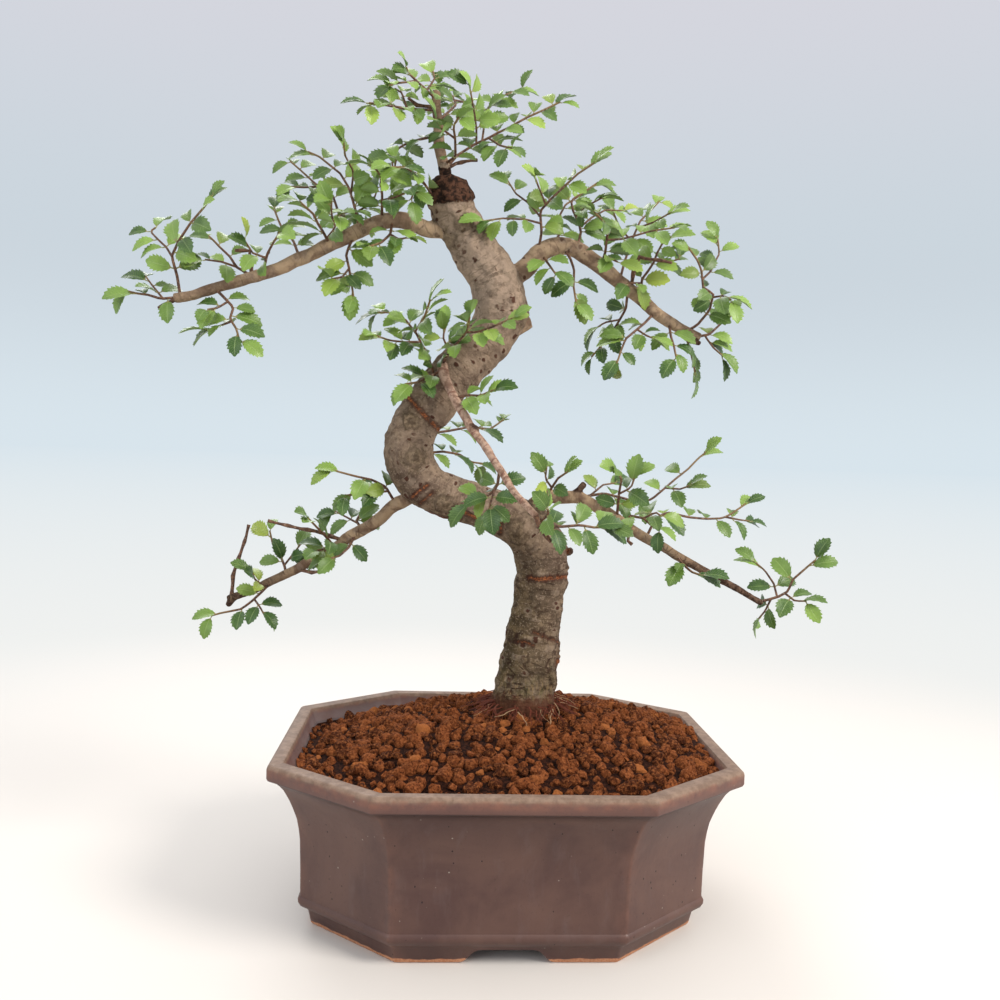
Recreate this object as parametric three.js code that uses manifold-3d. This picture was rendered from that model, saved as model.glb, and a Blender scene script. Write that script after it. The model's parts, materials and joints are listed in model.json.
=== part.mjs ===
// A Chinese elm bonsai: an S-shaped trunk with leafy shoots, in soil in a glazed octagonal pot.
// Millimetres, +Z up, the front of the pot towards -Y.

import * as THREE from 'three';
import Module from 'manifold-3d';
import { mergeVertices } from 'three/addons/utils/BufferGeometryUtils.js';

const wasm = await Module();
wasm.setup();

// Driving dimensions

const GAP = 0.3;

const POT = {
  halfWidth: 100,
  halfDepth: 82.5,
  halfFront: 54.7,
  halfSide: 47,
  frontPerInset: 0.56,
  sidePerInset: 0.8,
  height: 73,
  floorTop: 14,
  floorUnder: 7,
  footWall: 9,
};

// Levels of the pot's outer wall from the foot up: [height, half width].
const POT_OUTER = [
  [0, 82.2], [6.4, 83.5], [9.4, 86.6], [12.5, 87.5], [13.6, 86.7], [25, 86.8], [38, 87.2], [47, 88.5],
  [53, 90.4], [58.5, 92.6], [63, 95.2], [66, 98], [67.2, 100], [71.8, 100], [73, 98.6],
];

// Levels of its inner wall, from the floor up, running past the top.
const POT_INNER = [
  [14, 79], [38, 81], [50, 83], [60, 87], [66, 91], [70, 93], [74.5, 94],
];

const NOTCH = { bottom: 20, top: 10.5, height: 5.8 };
const DRAIN = { x: 45, radius: 7, sides: 24 };
const MESH = { size: 24, thick: 1, holes: 2, hole: 8, pitch: 10.5 };

const SOIL = {
  rim: 68, rise: 19.5, midX: 12, midY: 5, reachX: 100, reachY: 80,
  granule: 11, lump: 2.8, jitter: 0.55, seed: 41,
};

// Wood routes are drawn on an upright sketch plane through the trunk, as seen from this eye point:
// [across, up] on the plane, and how far behind it (+) or before it (-) the wood lies.
const EYE = new THREE.Vector3(-31, -434, 202);

const BARK = { trunkSides: 9, branchSides: 6, twigSides: 3, trunkStep: 10, branchStep: 14, lump: 0.05 };

// Leaf blades: length with the stalk, thickness, fold, the room between one leaf and the next, how
// far they stand off their shoot (radians), how far they droop and tilt, and the seed of their draws.
const LEAF = {
  shortest: 11.5, longest: 15, thick: 0.78, fold: 0.3, stalk: 1.2, spacing: 13, room: 1.15,
  slack: 0.1, socket: 3, halfReach: 0.58, spread: 1.1, sway: 0.25, ahead: 0.35, droop: 0.15, tilt: 0.35,
  tries: 16, loose: 0.12, looser: 0.05, seed: 7,
};

// The toothed edge of a blade from its base to its tip: [along, across] as shares of its length.
const LEAF_EDGE = [[0.34, 0.28], [0.5, 0.225], [0.7, 0.21]];

// The light comes from above and a little from the front, and the leaves face it.
const LIGHT = new THREE.Vector3(0, -0.62, 0.78).normalize();

// The trunk's middle line: [across, up, behind, radius].
const TRUNK = [
  [8.6, 60, 0, 9], [9, 76, 0, 15], [9.5, 87, 0, 15.4], [9.8, 92, 0, 14.3], [10, 100, 0, 14],
  [11.7, 110, -0.5, 13.7], [13, 122, -1, 12.8], [13.8, 130, -1.5, 11.8], [14.8, 140, -2, 11.7],
  [16, 150, -3, 12.4], [15, 160, -3, 13.2], [8, 170, -4, 12.4], [-3, 175.5, -5, 11], [-16, 179.5, -6, 10],
  [-28.5, 183.5, -6, 10], [-37.5, 187.5, -6, 10.5], [-44, 194, -6, 11], [-47, 202, -6, 11.7],
  [-46.3, 211, -5, 11.7], [-41.5, 221, -4, 11], [-37, 226, -3, 11], [-30, 236.5, -2, 11],
  [-20.5, 246.5, 0, 11.2], [-12, 256, 2, 11.2], [-8, 264.5, 3, 12.4], [-7, 270, 3, 12.8],
  [-8.5, 276, 3, 12.3], [-11, 283, 3, 11.7], [-18, 293, 2, 10.6], [-23.5, 301, 2, 10.3],
  [-29, 310, 1, 10.4], [-31, 316, 0, 10.6], [-31.8, 323, 0, 9.8], [-31.8, 326.5, 0, 8.2],
];

// The main branches: depth at their ends, radius at their ends, and their route on the plane.
const BRANCHES = {
  leader: {
    depth: [0, 5], thick: [3, 2.1],
    path: [[-31, 316], [-33, 325], [-34, 330], [-37, 341], [-37.7, 350], [-39, 360.5], [-39, 365.5]],
  },
  upperLeft: {
    depth: [0, -14], thick: [4, 2.2],
    path: [
      [-27, 303], [-34, 304], [-41, 304], [-47, 306], [-53, 307.5], [-60, 307], [-72, 302], [-78, 298.5],
      [-85.5, 295], [-94, 290], [-100, 287.5], [-106, 284], [-115.5, 280.5], [-127, 276.5], [-132, 275],
      [-140, 272], [-145.5, 270], [-153.5, 268.5],
    ],
  },
  upperRight: {
    depth: [3, 12], thick: [5, 2.4],
    path: [
      [-8, 278], [-2, 284], [4, 289], [9, 295], [14, 298], [20, 299.5], [27, 298], [33, 294], [40, 289.5],
      [47, 284], [56.5, 277.5], [63, 272], [69, 268], [77.5, 263.5], [85.5, 260],
    ],
  },
  lowerRight: {
    depth: [-4, -14], thick: [3.4, 1.4],
    path: [
      [8, 176], [15, 183.5], [17, 185.5], [22, 184.5], [28, 185], [32.5, 184.5], [37.5, 182], [44, 179],
      [49, 176], [58, 170], [65.5, 166], [72, 163], [79.5, 158.5], [86.5, 155], [93.5, 151.5],
      [100.5, 148], [107.5, 144.5], [114.5, 140.5], [120.5, 137.5],
    ],
  },
  lowerLeft: {
    depth: [-4, 22], thick: [3.4, 1.8],
    path: [
      [-38, 188], [-47, 182], [-54.5, 177.5], [-58, 173.5], [-65.5, 168], [-73.5, 163.5], [-79, 158.5],
      [-89.5, 153], [-95.5, 149], [-102, 145.5], [-108, 142.5], [-114.5, 139], [-120.5, 136.5], [-127, 134],
    ],
  },
  front: {
    depth: [-8, -66], thick: [2.3, 1.4],
    path: [
      [-29, 240], [-33, 243], [-31, 236.5], [-28, 230.5], [-25.5, 226], [-21.5, 220], [-18.5, 214.5],
      [-12.5, 207.5], [-7.5, 200], [-3.5, 194.5], [0.5, 188], [7, 181], [12.5, 175.5],
    ],
  },
};

// Knots and cut stubs on the trunk: from, to, radius.
const STUBS = [
  { on: 'trunk', out: -4, thick: [3.4, 1.6], path: [[20, 158], [30, 160]] },
  { on: 'trunk', out: -4, thick: [5, 2.6], path: [[8, 176], [13, 184]] },
  { on: 'trunk', out: 0, thick: [6, 3.4], path: [[0, 262], [6.5, 265]] },
  { on: 'lowerRight', out: -2, thick: [1.7, 1.5], path: [[28, 185], [31.5, 188], [34.5, 191.5]] },
  { on: 'lowerLeft', out: 2, thick: [2, 1.4], path: [[-125, 135], [-127, 131]] },
  { on: 'upperRight', out: -3, thick: [1.8, 1.2], path: [[78, 263], [81, 259], [86, 257.5]] },
  { on: 'front', out: -3, thick: [1.9, 1.2], path: [[-19, 216], [-15.5, 214.5]] },
];

// Bare dead twigs: what they grow on, how far back (+) or forward (-) they reach, radius and route.
const DEAD_TWIGS = [
  { on: 'leader', out: 6, thick: [1, 0.7], path: [[-34, 331], [-29.5, 334], [-20, 336]] },
  { on: 'leader', out: -8, thick: [1, 0.7], path: [[-39, 358], [-47.5, 359], [-51.5, 362]] },
  { on: 'upperLeft', out: -6, thick: [1, 0.7], path: [[-119, 280], [-120.5, 291], [-127, 291]] },
  { on: 'upperLeft', out: 3, thick: [1.1, 0.7], path: [[-153.5, 267], [-160, 264]] },
  { on: 'upperRight', out: -20, thick: [1, 0.7], path: [[52, 280], [53.5, 291], [56, 296], [71, 294]] },
  { on: 'lowerRight', out: -4, thick: [1, 0.7], path: [[56, 171], [55.5, 165], [57.5, 163.5]] },
  {
    on: 'lowerLeft', out: 5, thick: [1, 0.7],
    path: [[-125.5, 135], [-125, 144.5], [-121.5, 155], [-118, 168]],
  },
  { on: 'lowerLeft', out: -8, thick: [1, 0.7], path: [[-76, 162], [-85, 165], [-92, 166.5], [-110, 170]] },
  { on: 'lowerLeft', out: -6, thick: [1, 0.7], path: [[-97, 148.5], [-89.5, 147], [-85, 147.5]] },
  { on: 'front', out: 0, thick: [1, 0.7], path: [[12.5, 175.5], [14, 170.5], [19.5, 163.5]] },
];

// Leafy sprays: the wood each grows on, its route, how far back or forward its tip reaches, and its
// side shoots, each growing from the spray's own main shoot.
const SPRAYS = {
  crown_tip: {
    on: 'leader', out: -12, path: [[-39.5, 362], [-48, 369.5], [-52, 373], [-53, 376]],
    sides: [
      { out: 12, path: [[-43, 366], [-40, 371], [-41, 375]] },
      { out: -8, path: [[-48, 369.5], [-57, 368], [-62, 366]] },
    ],
  },
  crown_left: {
    on: 'leader', out: -22, path: [[-39, 357], [-50, 357], [-56, 357.5], [-64.5, 358.5], [-72.5, 358.8]],
    sides: [{ out: 10, path: [[-52, 357], [-54.5, 364], [-60, 367]] }],
  },
  crown_left_low: {
    on: 'leader', out: 22, path: [[-37.5, 346], [-47, 343.5], [-53, 341], [-59.5, 336.5], [-65.5, 333.5]],
    sides: [{ out: -10, path: [[-56, 339], [-58, 333], [-57, 328]] }],
  },
  crown_back: {
    on: 'leader', out: 38, path: [[-38, 352], [-34, 356], [-30, 360], [-32, 364], [-36, 367]],
    sides: [{ out: 12, path: [[-31, 362], [-24, 361], [-17, 358]] }],
  },
  crown_centre: {
    on: 'leader', out: -24, path: [[-35, 333], [-29.6, 337], [-30, 345], [-31, 350.5], [-28.5, 355]],
    sides: [{ out: -8, path: [[-30, 345], [-36, 349], [-39, 353]] }],
  },
  crown_right: {
    on: 'leader', out: 6,
    path: [
      [-34, 331], [-29, 337.5], [-21, 343], [-15, 346], [-11, 348.5], [-7, 350.5], [2, 356], [10, 360],
      [17.5, 364],
    ],
    sides: [
      { out: -14, path: [[-20.5, 343.5], [-20.5, 349.5], [-21.5, 356], [-23, 363], [-24.5, 370]] },
      { out: 12, path: [[-18, 345], [-16.4, 358], [-11, 364], [-5, 367], [0, 368]] },
      { out: -16, path: [[-15, 346], [-10, 343], [-4, 342]] },
    ],
  },
  collar_left: {
    on: 'trunk', out: -20, path: [[-40, 320], [-46, 328], [-52, 331], [-58, 331]],
    sides: [{ out: -8, path: [[-45, 326.5], [-48, 320], [-50, 314]] }],
  },
  upper_left_tip: {
    on: 'upperLeft', out: -4, path: [[-151, 269], [-159, 268], [-164.5, 269.5], [-170, 270], [-174.5, 271]],
    sides: [{ out: 10, path: [[-158, 268], [-163, 274], [-166, 278]] }],
  },
  upper_left_fork: {
    on: 'upperLeft', out: -10,
    path: [
      [-150.5, 270], [-152, 278.5], [-153.5, 283.5], [-154.5, 287], [-151.5, 294], [-146.5, 302],
      [-140.5, 309.5], [-137, 315],
    ],
    sides: [
      { out: 12, path: [[-154.5, 287], [-157, 291], [-160.5, 294], [-164, 297.5], [-159, 301.5]] },
    ],
  },
  upper_left_rise: {
    on: 'upperLeft', out: 10,
    path: [[-119.5, 280], [-126, 283.5], [-129, 288], [-133.5, 292], [-136.5, 295], [-139.5, 297.5]],
    sides: [{ out: -10, path: [[-126, 283.5], [-132.5, 285.5], [-138, 286], [-144, 286.5]] }],
  },
  upper_left_mid: {
    on: 'upperLeft', out: -14, path: [[-114.5, 281], [-112.5, 290], [-110, 295], [-107, 300]],
    sides: [{ out: -6, path: [[-113, 288], [-119, 290], [-123, 296]] }],
  },
  upper_left_back: {
    on: 'upperLeft', out: 26, path: [[-98, 288.5], [-101, 296], [-107, 303], [-110, 310]],
  },
  upper_left_hang: {
    on: 'upperLeft', out: -16,
    path: [
      [-135.5, 273.5], [-132.5, 271], [-129.5, 268], [-127, 265.5], [-128.5, 260.5], [-125.5, 256],
      [-124, 250.5],
    ],
    sides: [
      { out: -6, path: [[-129.5, 268], [-134, 265], [-139, 264]] },
      { out: 8, path: [[-128, 259], [-133, 257], [-138, 255]] },
    ],
  },
  upper_left_front: {
    on: 'upperLeft', out: -30, path: [[-85, 295], [-87.5, 300], [-90.5, 304.5], [-92.5, 308.5], [-99, 314]],
    sides: [{ out: -8, path: [[-86, 298], [-82.5, 303], [-84.5, 309], [-84.5, 316]] }],
  },
  upper_left_drop: {
    on: 'upperLeft', out: -12,
    path: [[-73, 301], [-76, 295.5], [-77.5, 291], [-76, 285], [-74.5, 277], [-73.5, 271]],
    sides: [{ out: -8, path: [[-76, 285], [-79, 281], [-84, 280]] }],
  },
  upper_left_crest: {
    on: 'upperLeft', out: 14,
    path: [[-72.5, 302], [-72.5, 306.5], [-75, 315], [-77, 321], [-81, 327], [-90.5, 334], [-96, 336]],
    sides: [
      { out: -14, path: [[-76, 318], [-75, 328], [-79, 335], [-80, 342]] },
      { out: 14, path: [[-73.5, 310], [-66, 315], [-64, 322]] },
      { out: -18, path: [[-74, 311], [-79, 309.5], [-83, 308]] },
    ],
  },
  upper_left_inner: {
    on: 'upperLeft', out: -20, path: [[-62, 306.5], [-62, 318], [-63, 327], [-67, 332]],
    sides: [
      { out: -8, path: [[-62, 316], [-55, 318], [-50, 321]] },
      { out: 8, path: [[-63, 325], [-57, 330], [-56, 335]] },
    ],
  },
  upper_left_far: {
    on: 'upperLeft', out: 34,
    path: [[-84, 295.5], [-80, 306], [-84, 317], [-92, 322], [-98.5, 327.5], [-103.5, 331.5]],
    sides: [
      { out: 12, path: [[-81, 308], [-74, 308], [-69, 305]] },
      { out: -12, path: [[-90, 321], [-97, 320], [-104, 320]] },
    ],
  },
  upper_left_under: {
    on: 'upperLeft', out: -24, path: [[-57, 307], [-58, 301], [-62, 297], [-68, 295]],
    sides: [{ out: -4, path: [[-58, 301], [-54, 299], [-50, 300]] }],
  },
  upper_right_crown: {
    on: 'upperRight', out: -12,
    path: [
      [9, 295], [10.5, 305], [10, 309.5], [9.5, 314.5], [14, 320], [19.5, 325.5], [26, 332], [34.5, 338],
    ],
    sides: [
      { out: -10, path: [[10, 309], [3, 310.5], [-7.5, 310.5], [-15.5, 309]] },
      { out: 12, path: [[10, 312], [4, 318], [-2, 322], [-6, 328]] },
      { out: -8, path: [[12, 317.5], [9, 324], [6, 331]] },
    ],
  },
  upper_right_back: {
    on: 'upperRight', out: 34, path: [[15, 298], [19, 305], [18, 312], [21, 318], [27, 322]],
  },
  upper_right_crest: {
    on: 'upperRight', out: 10,
    path: [[27, 298], [28.5, 306], [27.5, 310], [24.5, 315.5], [23.5, 320], [30, 324.5], [36, 329]],
    sides: [
      { out: 12, path: [[28, 308], [33.5, 313], [39.5, 316.5], [48, 316.5]] },
      { out: -14, path: [[26, 313], [31, 318], [38, 322]] },
    ],
  },
  upper_right_mid: {
    on: 'upperRight', out: -26,
    path: [[38, 291], [40, 297], [40.5, 303], [41, 308], [38, 312], [34, 315.5]],
    sides: [
      { out: -8, path: [[40.5, 303], [46.5, 303.5], [52, 305], [61, 308], [72, 310]] },
      { out: -8, path: [[39.5, 296], [44, 294], [49, 292]] },
    ],
  },
  upper_right_far: {
    on: 'upperRight', out: 24, path: [[47, 284], [49, 293], [52, 303], [55.5, 312], [64.5, 322]],
    sides: [
      { out: 10, path: [[52, 303], [46, 309], [43, 316]] },
      { out: -10, path: [[54, 309], [62, 312], [70, 317]] },
    ],
  },
  upper_right_stem: {
    on: 'upperRight', out: -10,
    path: [[57, 277.5], [57.5, 286], [60, 289.5], [62.5, 293.5], [64, 298], [66.5, 303], [72, 307]],
    sides: [
      { out: -8, path: [[57.5, 284], [53, 284], [48, 283]] },
      { out: 8, path: [[63, 295], [69, 294], [75, 296]] },
    ],
  },
  upper_right_tall: {
    on: 'upperRight', out: -14,
    path: [
      [79, 263], [84, 266], [89.5, 273], [91, 280.5], [86, 283.5], [85, 291], [83, 295.5], [81, 298],
      [77, 303],
    ],
    sides: [
      { out: 10, path: [[85.5, 287], [89.5, 291], [91, 295], [93, 299], [92, 306]] },
      { out: -6, path: [[91, 279], [96, 280], [100, 278]] },
    ],
  },
  upper_right_tip: {
    on: 'upperRight', out: 4, path: [[84, 260.5], [90, 262], [95, 267], [100, 271]],
    sides: [{ out: -8, path: [[88, 261], [92, 256], [97, 252]] }],
  },
  upper_right_low: {
    on: 'upperRight', out: -16, path: [[64, 271], [59.5, 266], [55, 262], [51, 258.5], [49, 253], [47, 246]],
    sides: [{ out: -6, path: [[56, 263], [60, 260.5], [64, 259]] }],
  },
  upper_right_hang: {
    on: 'upperRight', out: 14,
    path: [[51, 281], [50.5, 272], [46.5, 264.5], [43, 259], [39.5, 254.5], [35, 249]],
    sides: [{ out: 6, path: [[48, 267], [41, 265.5], [36, 262]] }],
  },
  upper_right_under: {
    on: 'upperRight', out: -12, path: [[70.5, 267], [72, 260], [73.5, 256], [75, 250]],
  },
  upper_right_drop: {
    on: 'upperRight', out: 16, path: [[78, 263], [80, 258], [82, 252], [84, 244]],
  },
  upper_right_thread: {
    on: 'upperRight', out: -16, bare: 0.6,
    path: [[20, 299], [24, 294], [26, 289], [26, 281.5], [27.5, 273.5]],
  },
  upper_right_root: {
    on: 'upperRight', out: -14, path: [[10, 296], [14.5, 290.5], [18, 286]],
  },
  lower_right_root: {
    on: 'lowerRight', out: -10, path: [[17, 185.5], [19.5, 189.5], [22, 193.5], [27, 197]],
    sides: [{ out: -4, path: [[19, 189], [16, 193], [16.5, 199]] }],
  },
  lower_right_top: {
    on: 'lowerRight', out: 24,
    path: [
      [31, 185], [43.5, 187], [53, 185], [60.5, 183], [66, 185], [70.5, 189], [76.5, 194.5], [82.5, 199.5],
      [87, 204.5], [91, 208],
    ],
    sides: [
      { out: 8, path: [[37, 186], [43, 191], [49, 192]] },
      { out: -6, path: [[72, 190.5], [79, 190], [84, 192]] },
    ],
  },
  lower_right_rise: {
    on: 'lowerRight', out: -16, path: [[50, 175.5], [50.5, 187], [51.5, 194], [47.5, 200]],
    sides: [{ out: -4, path: [[50.5, 187], [56, 190], [58, 196]] }],
  },
  lower_right_mid: {
    on: 'lowerRight', out: -18, path: [[54, 172.5], [56, 177], [62.5, 176], [66.5, 172.5], [71, 171]],
    sides: [{ out: -4, path: [[62.5, 176], [68, 179], [74, 175]] }],
  },
  lower_right_far: {
    on: 'lowerRight', out: 14,
    path: [
      [64, 167], [68, 176], [73.5, 179], [84, 177], [92, 176.5], [99.5, 177], [103.5, 179], [111, 184.5],
    ],
    sides: [{ out: 6, path: [[101, 177.5], [108, 176.5], [113, 176]] }],
  },
  lower_right_under: {
    on: 'lowerRight', out: -12, path: [[78, 159.5], [82, 155], [86, 151.5], [91, 150]],
  },
  lower_right_tip: {
    on: 'lowerRight', out: -8,
    path: [[119, 138], [124, 139.5], [128.5, 141], [132.5, 143.5], [134.5, 149], [141, 155], [145.5, 159]],
    sides: [
      { out: 12, path: [[127.5, 140.5], [125.5, 147], [121, 153], [116, 157]] },
      { out: -12, path: [[131, 142.5], [136, 139], [142, 139]] },
      { out: 10, path: [[124.5, 139.7], [122, 134], [118, 129]] },
    ],
  },
  lower_left_top: {
    on: 'lowerLeft', out: -14, path: [[-52, 179], [-57, 187], [-63, 190], [-71, 191.5], [-81.5, 194]],
    sides: [{ out: -8, path: [[-56, 185], [-62, 184.5], [-68, 184], [-76, 182.5]] }],
  },
  lower_left_rise: {
    on: 'lowerLeft', out: 14, path: [[-67, 167], [-70, 171], [-67, 177], [-63, 182]],
    sides: [{ out: 8, path: [[-69.5, 170], [-75, 173], [-81, 176]] }],
  },
  lower_left_mid: {
    on: 'lowerLeft', out: -22, path: [[-79, 158.5], [-83, 163], [-88, 168], [-92, 172]],
    sides: [{ out: -6, path: [[-80.5, 160.5], [-84, 158], [-88, 157]] }],
  },
  lower_left_under: {
    on: 'lowerLeft', out: -14, path: [[-70, 165.5], [-73, 159], [-77, 155], [-83, 153]],
  },
  lower_left_out: {
    on: 'lowerLeft', out: 14, path: [[-101, 146], [-102, 150], [-105, 157], [-107.5, 160], [-109, 166]],
    sides: [{ out: 6, path: [[-102, 150], [-98, 155.5], [-94, 161]] }],
  },
  lower_left_tip: {
    on: 'lowerLeft', out: -12,
    path: [[-107, 143], [-112, 137.5], [-116.5, 133], [-121, 129.5], [-130, 127.5], [-135, 126]],
    sides: [
      { out: -6, path: [[-115, 134], [-112.5, 130.5], [-110, 126]] },
      { out: -10, path: [[-110, 139.5], [-115, 143], [-117, 148]] },
    ],
  },
  front_top: {
    on: 'front', out: -26, path: [[-33, 243.5], [-30, 249.5], [-26, 254], [-22, 259], [-21, 266]],
    sides: [
      { out: -8, path: [[-22.5, 258.5], [-17, 259], [-10.5, 261.5], [-1, 266]] },
      { out: 4, path: [[-30, 249.5], [-33, 256], [-31.5, 262]] },
    ],
  },
  front_left: {
    on: 'trunk', out: -34, path: [[-35, 235], [-39.5, 247], [-45.5, 258], [-41.5, 265], [-39, 273]],
    sides: [
      { out: 8, path: [[-44.5, 257], [-50, 263], [-57, 266], [-64, 266]] },
      { out: -8, path: [[-42, 253.5], [-50, 253], [-57, 253.5], [-65, 256]] },
    ],
  },
  front_low: {
    on: 'front', out: -12, path: [[-32, 242], [-38, 238], [-44, 235], [-50, 234]],
  },
  front_mid: {
    on: 'front', out: -8, path: [[-27, 228.5], [-21, 230], [-15, 230], [-9, 233]],
  },
  front_side: {
    on: 'front', out: 10, path: [[-5, 197], [-6, 189], [-9, 185], [-14, 183.5], [-22, 179]],
    sides: [{ out: -6, path: [[-7, 187.5], [-9, 181], [-10, 176]] }],
  },
  front_tip: {
    on: 'front', out: 4, path: [[11.5, 176.5], [17, 171.5], [24, 171], [33, 172], [40, 171], [47.4, 171.8]],
    sides: [{ out: -6, path: [[15, 173], [18, 177], [17, 182]] }],
  },
  back_upper: {
    on: 'trunk', out: 40, path: [[-38, 212], [-29, 213.5], [-20, 215.5], [-10, 215], [-4, 219.5]],
  },
  back_lower: {
    on: 'trunk', out: 34, path: [[-39, 203], [-31.5, 204], [-24, 203], [-18, 199.5], [-12, 199]],
  },
};

const COLOURS = {
  glaze: { color: 0x3a2426, roughness: 0.35, metalness: 0 },
  plastic: { color: 0x1c1c1c, roughness: 0.6, metalness: 0 },
  soil: { color: 0x7d3f28, roughness: 0.95, metalness: 0 },
  bark: { color: 0x8a7a69, roughness: 0.85, metalness: 0 },
  leaf: { color: 0x5f8f2a, roughness: 0.5, metalness: 0 },
};

// A small seeded generator of even draws between 0 and 1.
function seededDraws(seed) {
  let state = seed >>> 0;
  return () => {
    state = (state + 0x6d2b79f5) >>> 0;
    let mixed = Math.imul(state ^ (state >>> 15), state | 1);
    mixed ^= mixed + Math.imul(mixed ^ (mixed >>> 7), mixed | 61);
    return ((mixed ^ (mixed >>> 14)) >>> 0) / 4294967296;
  };
}

// Solids and meshes

function toSolid(geometry) {
  const bare = geometry.index ? geometry.toNonIndexed() : geometry.clone();
  for (const name of Object.keys(bare.attributes)) {
    if (name !== 'position') bare.deleteAttribute(name);
  }
  const merged = mergeVertices(bare, 1e-4);
  return new wasm.Manifold(new wasm.Mesh({
    numProp: 3,
    vertProperties: new Float32Array(merged.attributes.position.array),
    triVerts: new Uint32Array(merged.index.array),
  }));
}

function toGeometry(solid) {
  const mesh = solid.getMesh();
  const geometry = new THREE.BufferGeometry();
  const places = new Float32Array(mesh.vertProperties);
  geometry.setAttribute('position', new THREE.BufferAttribute(places, 3));
  geometry.setIndex(new THREE.BufferAttribute(new Uint32Array(mesh.triVerts), 1));
  return geometry;
}

function closedGeometry(points, triangles) {
  const geometry = new THREE.BufferGeometry();
  const places = points.flatMap((point) => point.toArray());
  geometry.setAttribute('position', new THREE.Float32BufferAttribute(places, 3));
  geometry.setIndex(triangles.flat());
  return geometry;
}

function joined(solids) {
  return solids.reduce((whole, next) => whole.add(next));
}

// A closed skin over rings of equally many points, from the first ring to the last.
function skin(rings) {
  const around = rings[0].length;
  const triangles = [];
  for (let i = 0; i + 1 < rings.length; i += 1) {
    for (let k = 0; k < around; k += 1) {
      const next = (k + 1) % around;
      const here = i * around;
      const above = here + around;
      triangles.push([here + k, here + next, above + next], [here + k, above + next, above + k]);
    }
  }
  const last = (rings.length - 1) * around;
  for (let k = 1; k + 1 < around; k += 1) {
    triangles.push([0, k + 1, k], [last, last + k, last + k + 1]);
  }
  return closedGeometry(rings.flat(), triangles);
}

// Wood

function seen([across, up], behind) {
  const reach = (behind - EYE.y) / -EYE.y;
  return new THREE.Vector3(EYE.x + (across - EYE.x) * reach, behind, EYE.z + (up - EYE.z) * reach);
}

// Distance along a sketched route at each of its points, as a share of its whole length.
function shares(path) {
  const run = [0];
  for (let i = 1; i < path.length; i += 1) {
    run.push(run[i - 1] + Math.hypot(path[i][0] - path[i - 1][0], path[i][1] - path[i - 1][1]));
  }
  return run.map((length) => length / run[run.length - 1]);
}

function mix(from, to, share) {
  return from + (to - from) * share;
}

// The point of a limb whose sketch lies closest to a sketched point.
function nearestOn(limb, [across, up]) {
  let best = null;
  for (let i = 0; i + 1 < limb.points.length; i += 1) {
    const [a, b] = [limb.path[i], limb.path[i + 1]];
    const [runX, runZ] = [b[0] - a[0], b[1] - a[1]];
    const along = ((across - a[0]) * runX + (up - a[1]) * runZ) / (runX * runX + runZ * runZ);
    const share = Math.min(1, Math.max(0, along));
    const spot = [a[0] + runX * share, a[1] + runZ * share];
    const off = Math.hypot(across - spot[0], up - spot[1]);
    if (!best || off < best.off) {
      best = { off, spot, behind: mix(limb.behind[i], limb.behind[i + 1], share) };
    }
  }
  return best;
}

// A limb is a route in space with a radius at each point.
function makeLimb(path, behind, radii) {
  return { path, behind, radii, points: path.map((spot, i) => seen(spot, behind[i])) };
}

function branchLimb({ path, depth, thick }) {
  const share = shares(path);
  return makeLimb(
    path,
    share.map((s) => mix(depth[0], depth[1], s)),
    share.map((s) => mix(thick[0], thick[1], s)),
  );
}

// A twig starts on the middle line of the limb that carries it and leaves the sketch plane evenly.
function twigLimb({ path, out, thick }, parent) {
  const root = nearestOn(parent, path[0]);
  const route = root.off > 0.5 ? [root.spot, ...path] : [root.spot, ...path.slice(1)];
  const share = shares(route);
  return makeLimb(
    route,
    share.map((s) => root.behind + out * s),
    share.map((s) => mix(thick[0], thick[1], s)),
  );
}

// A smooth run along a limb: middle points and radii about one step apart.
function smoothRun(limb, step) {
  const curve = new THREE.CatmullRomCurve3(limb.points, false, 'centripetal');
  const count = Math.round(curve.getLength() / step);
  const run = [];
  for (let i = 0; i <= count; i += 1) {
    const t = i / count;
    const place = t * (limb.points.length - 1);
    const index = Math.min(limb.points.length - 2, Math.floor(place));
    run.push({
      point: curve.getPoint(t),
      radius: mix(limb.radii[index], limb.radii[index + 1], place - index),
    });
  }
  return run;
}

function cornerRun(limb) {
  return limb.points.map((point, i) => ({ point, radius: limb.radii[i] }));
}

// A solid round a run of points, with sides facets; its radius swells and dips by the lump share.
function limbSolid(run, sides, lump = 0, grow = 0) {
  let across = null;
  const rings = run.map(({ point, radius }, i) => {
    const before = run[Math.max(0, i - 1)].point;
    const after = run[Math.min(run.length - 1, i + 1)].point;
    const along = after.clone().sub(before).normalize();
    if (!across) {
      across = Math.abs(along.y) < 0.9 ? new THREE.Vector3(0, 1, 0) : new THREE.Vector3(1, 0, 0);
    }
    across = across.clone().addScaledVector(along, -across.dot(along)).normalize();
    const square = along.clone().cross(across);
    const ring = [];
    for (let k = 0; k < sides; k += 1) {
      const turn = (k / sides) * 2 * Math.PI;
      const swell = 1 + lump * (Math.sin(3 * turn + i * 0.9) + Math.sin(2 * turn - i * 1.7));
      const reach = radius * swell + grow;
      ring.push(point.clone()
        .addScaledVector(across, Math.cos(turn) * reach)
        .addScaledVector(square, Math.sin(turn) * reach));
    }
    return ring;
  });
  return toSolid(skin(rings));
}

const limbs = {
  trunk: makeLimb(TRUNK.map((p) => [p[0], p[1]]), TRUNK.map((p) => p[2]), TRUNK.map((p) => p[3])),
};
for (const [name, branch] of Object.entries(BRANCHES)) limbs[name] = branchLimb(branch);

const trunkRun = smoothRun(limbs.trunk, BARK.trunkStep);
const branchRuns = Object.keys(BRANCHES).map((name) => smoothRun(limbs[name], BARK.branchStep));
const stubRuns = STUBS.map((stub) => cornerRun(twigLimb(stub, limbs[stub.on])));
const deadRuns = DEAD_TWIGS.map((twig) => cornerRun(twigLimb(twig, limbs[twig.on])));

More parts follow.
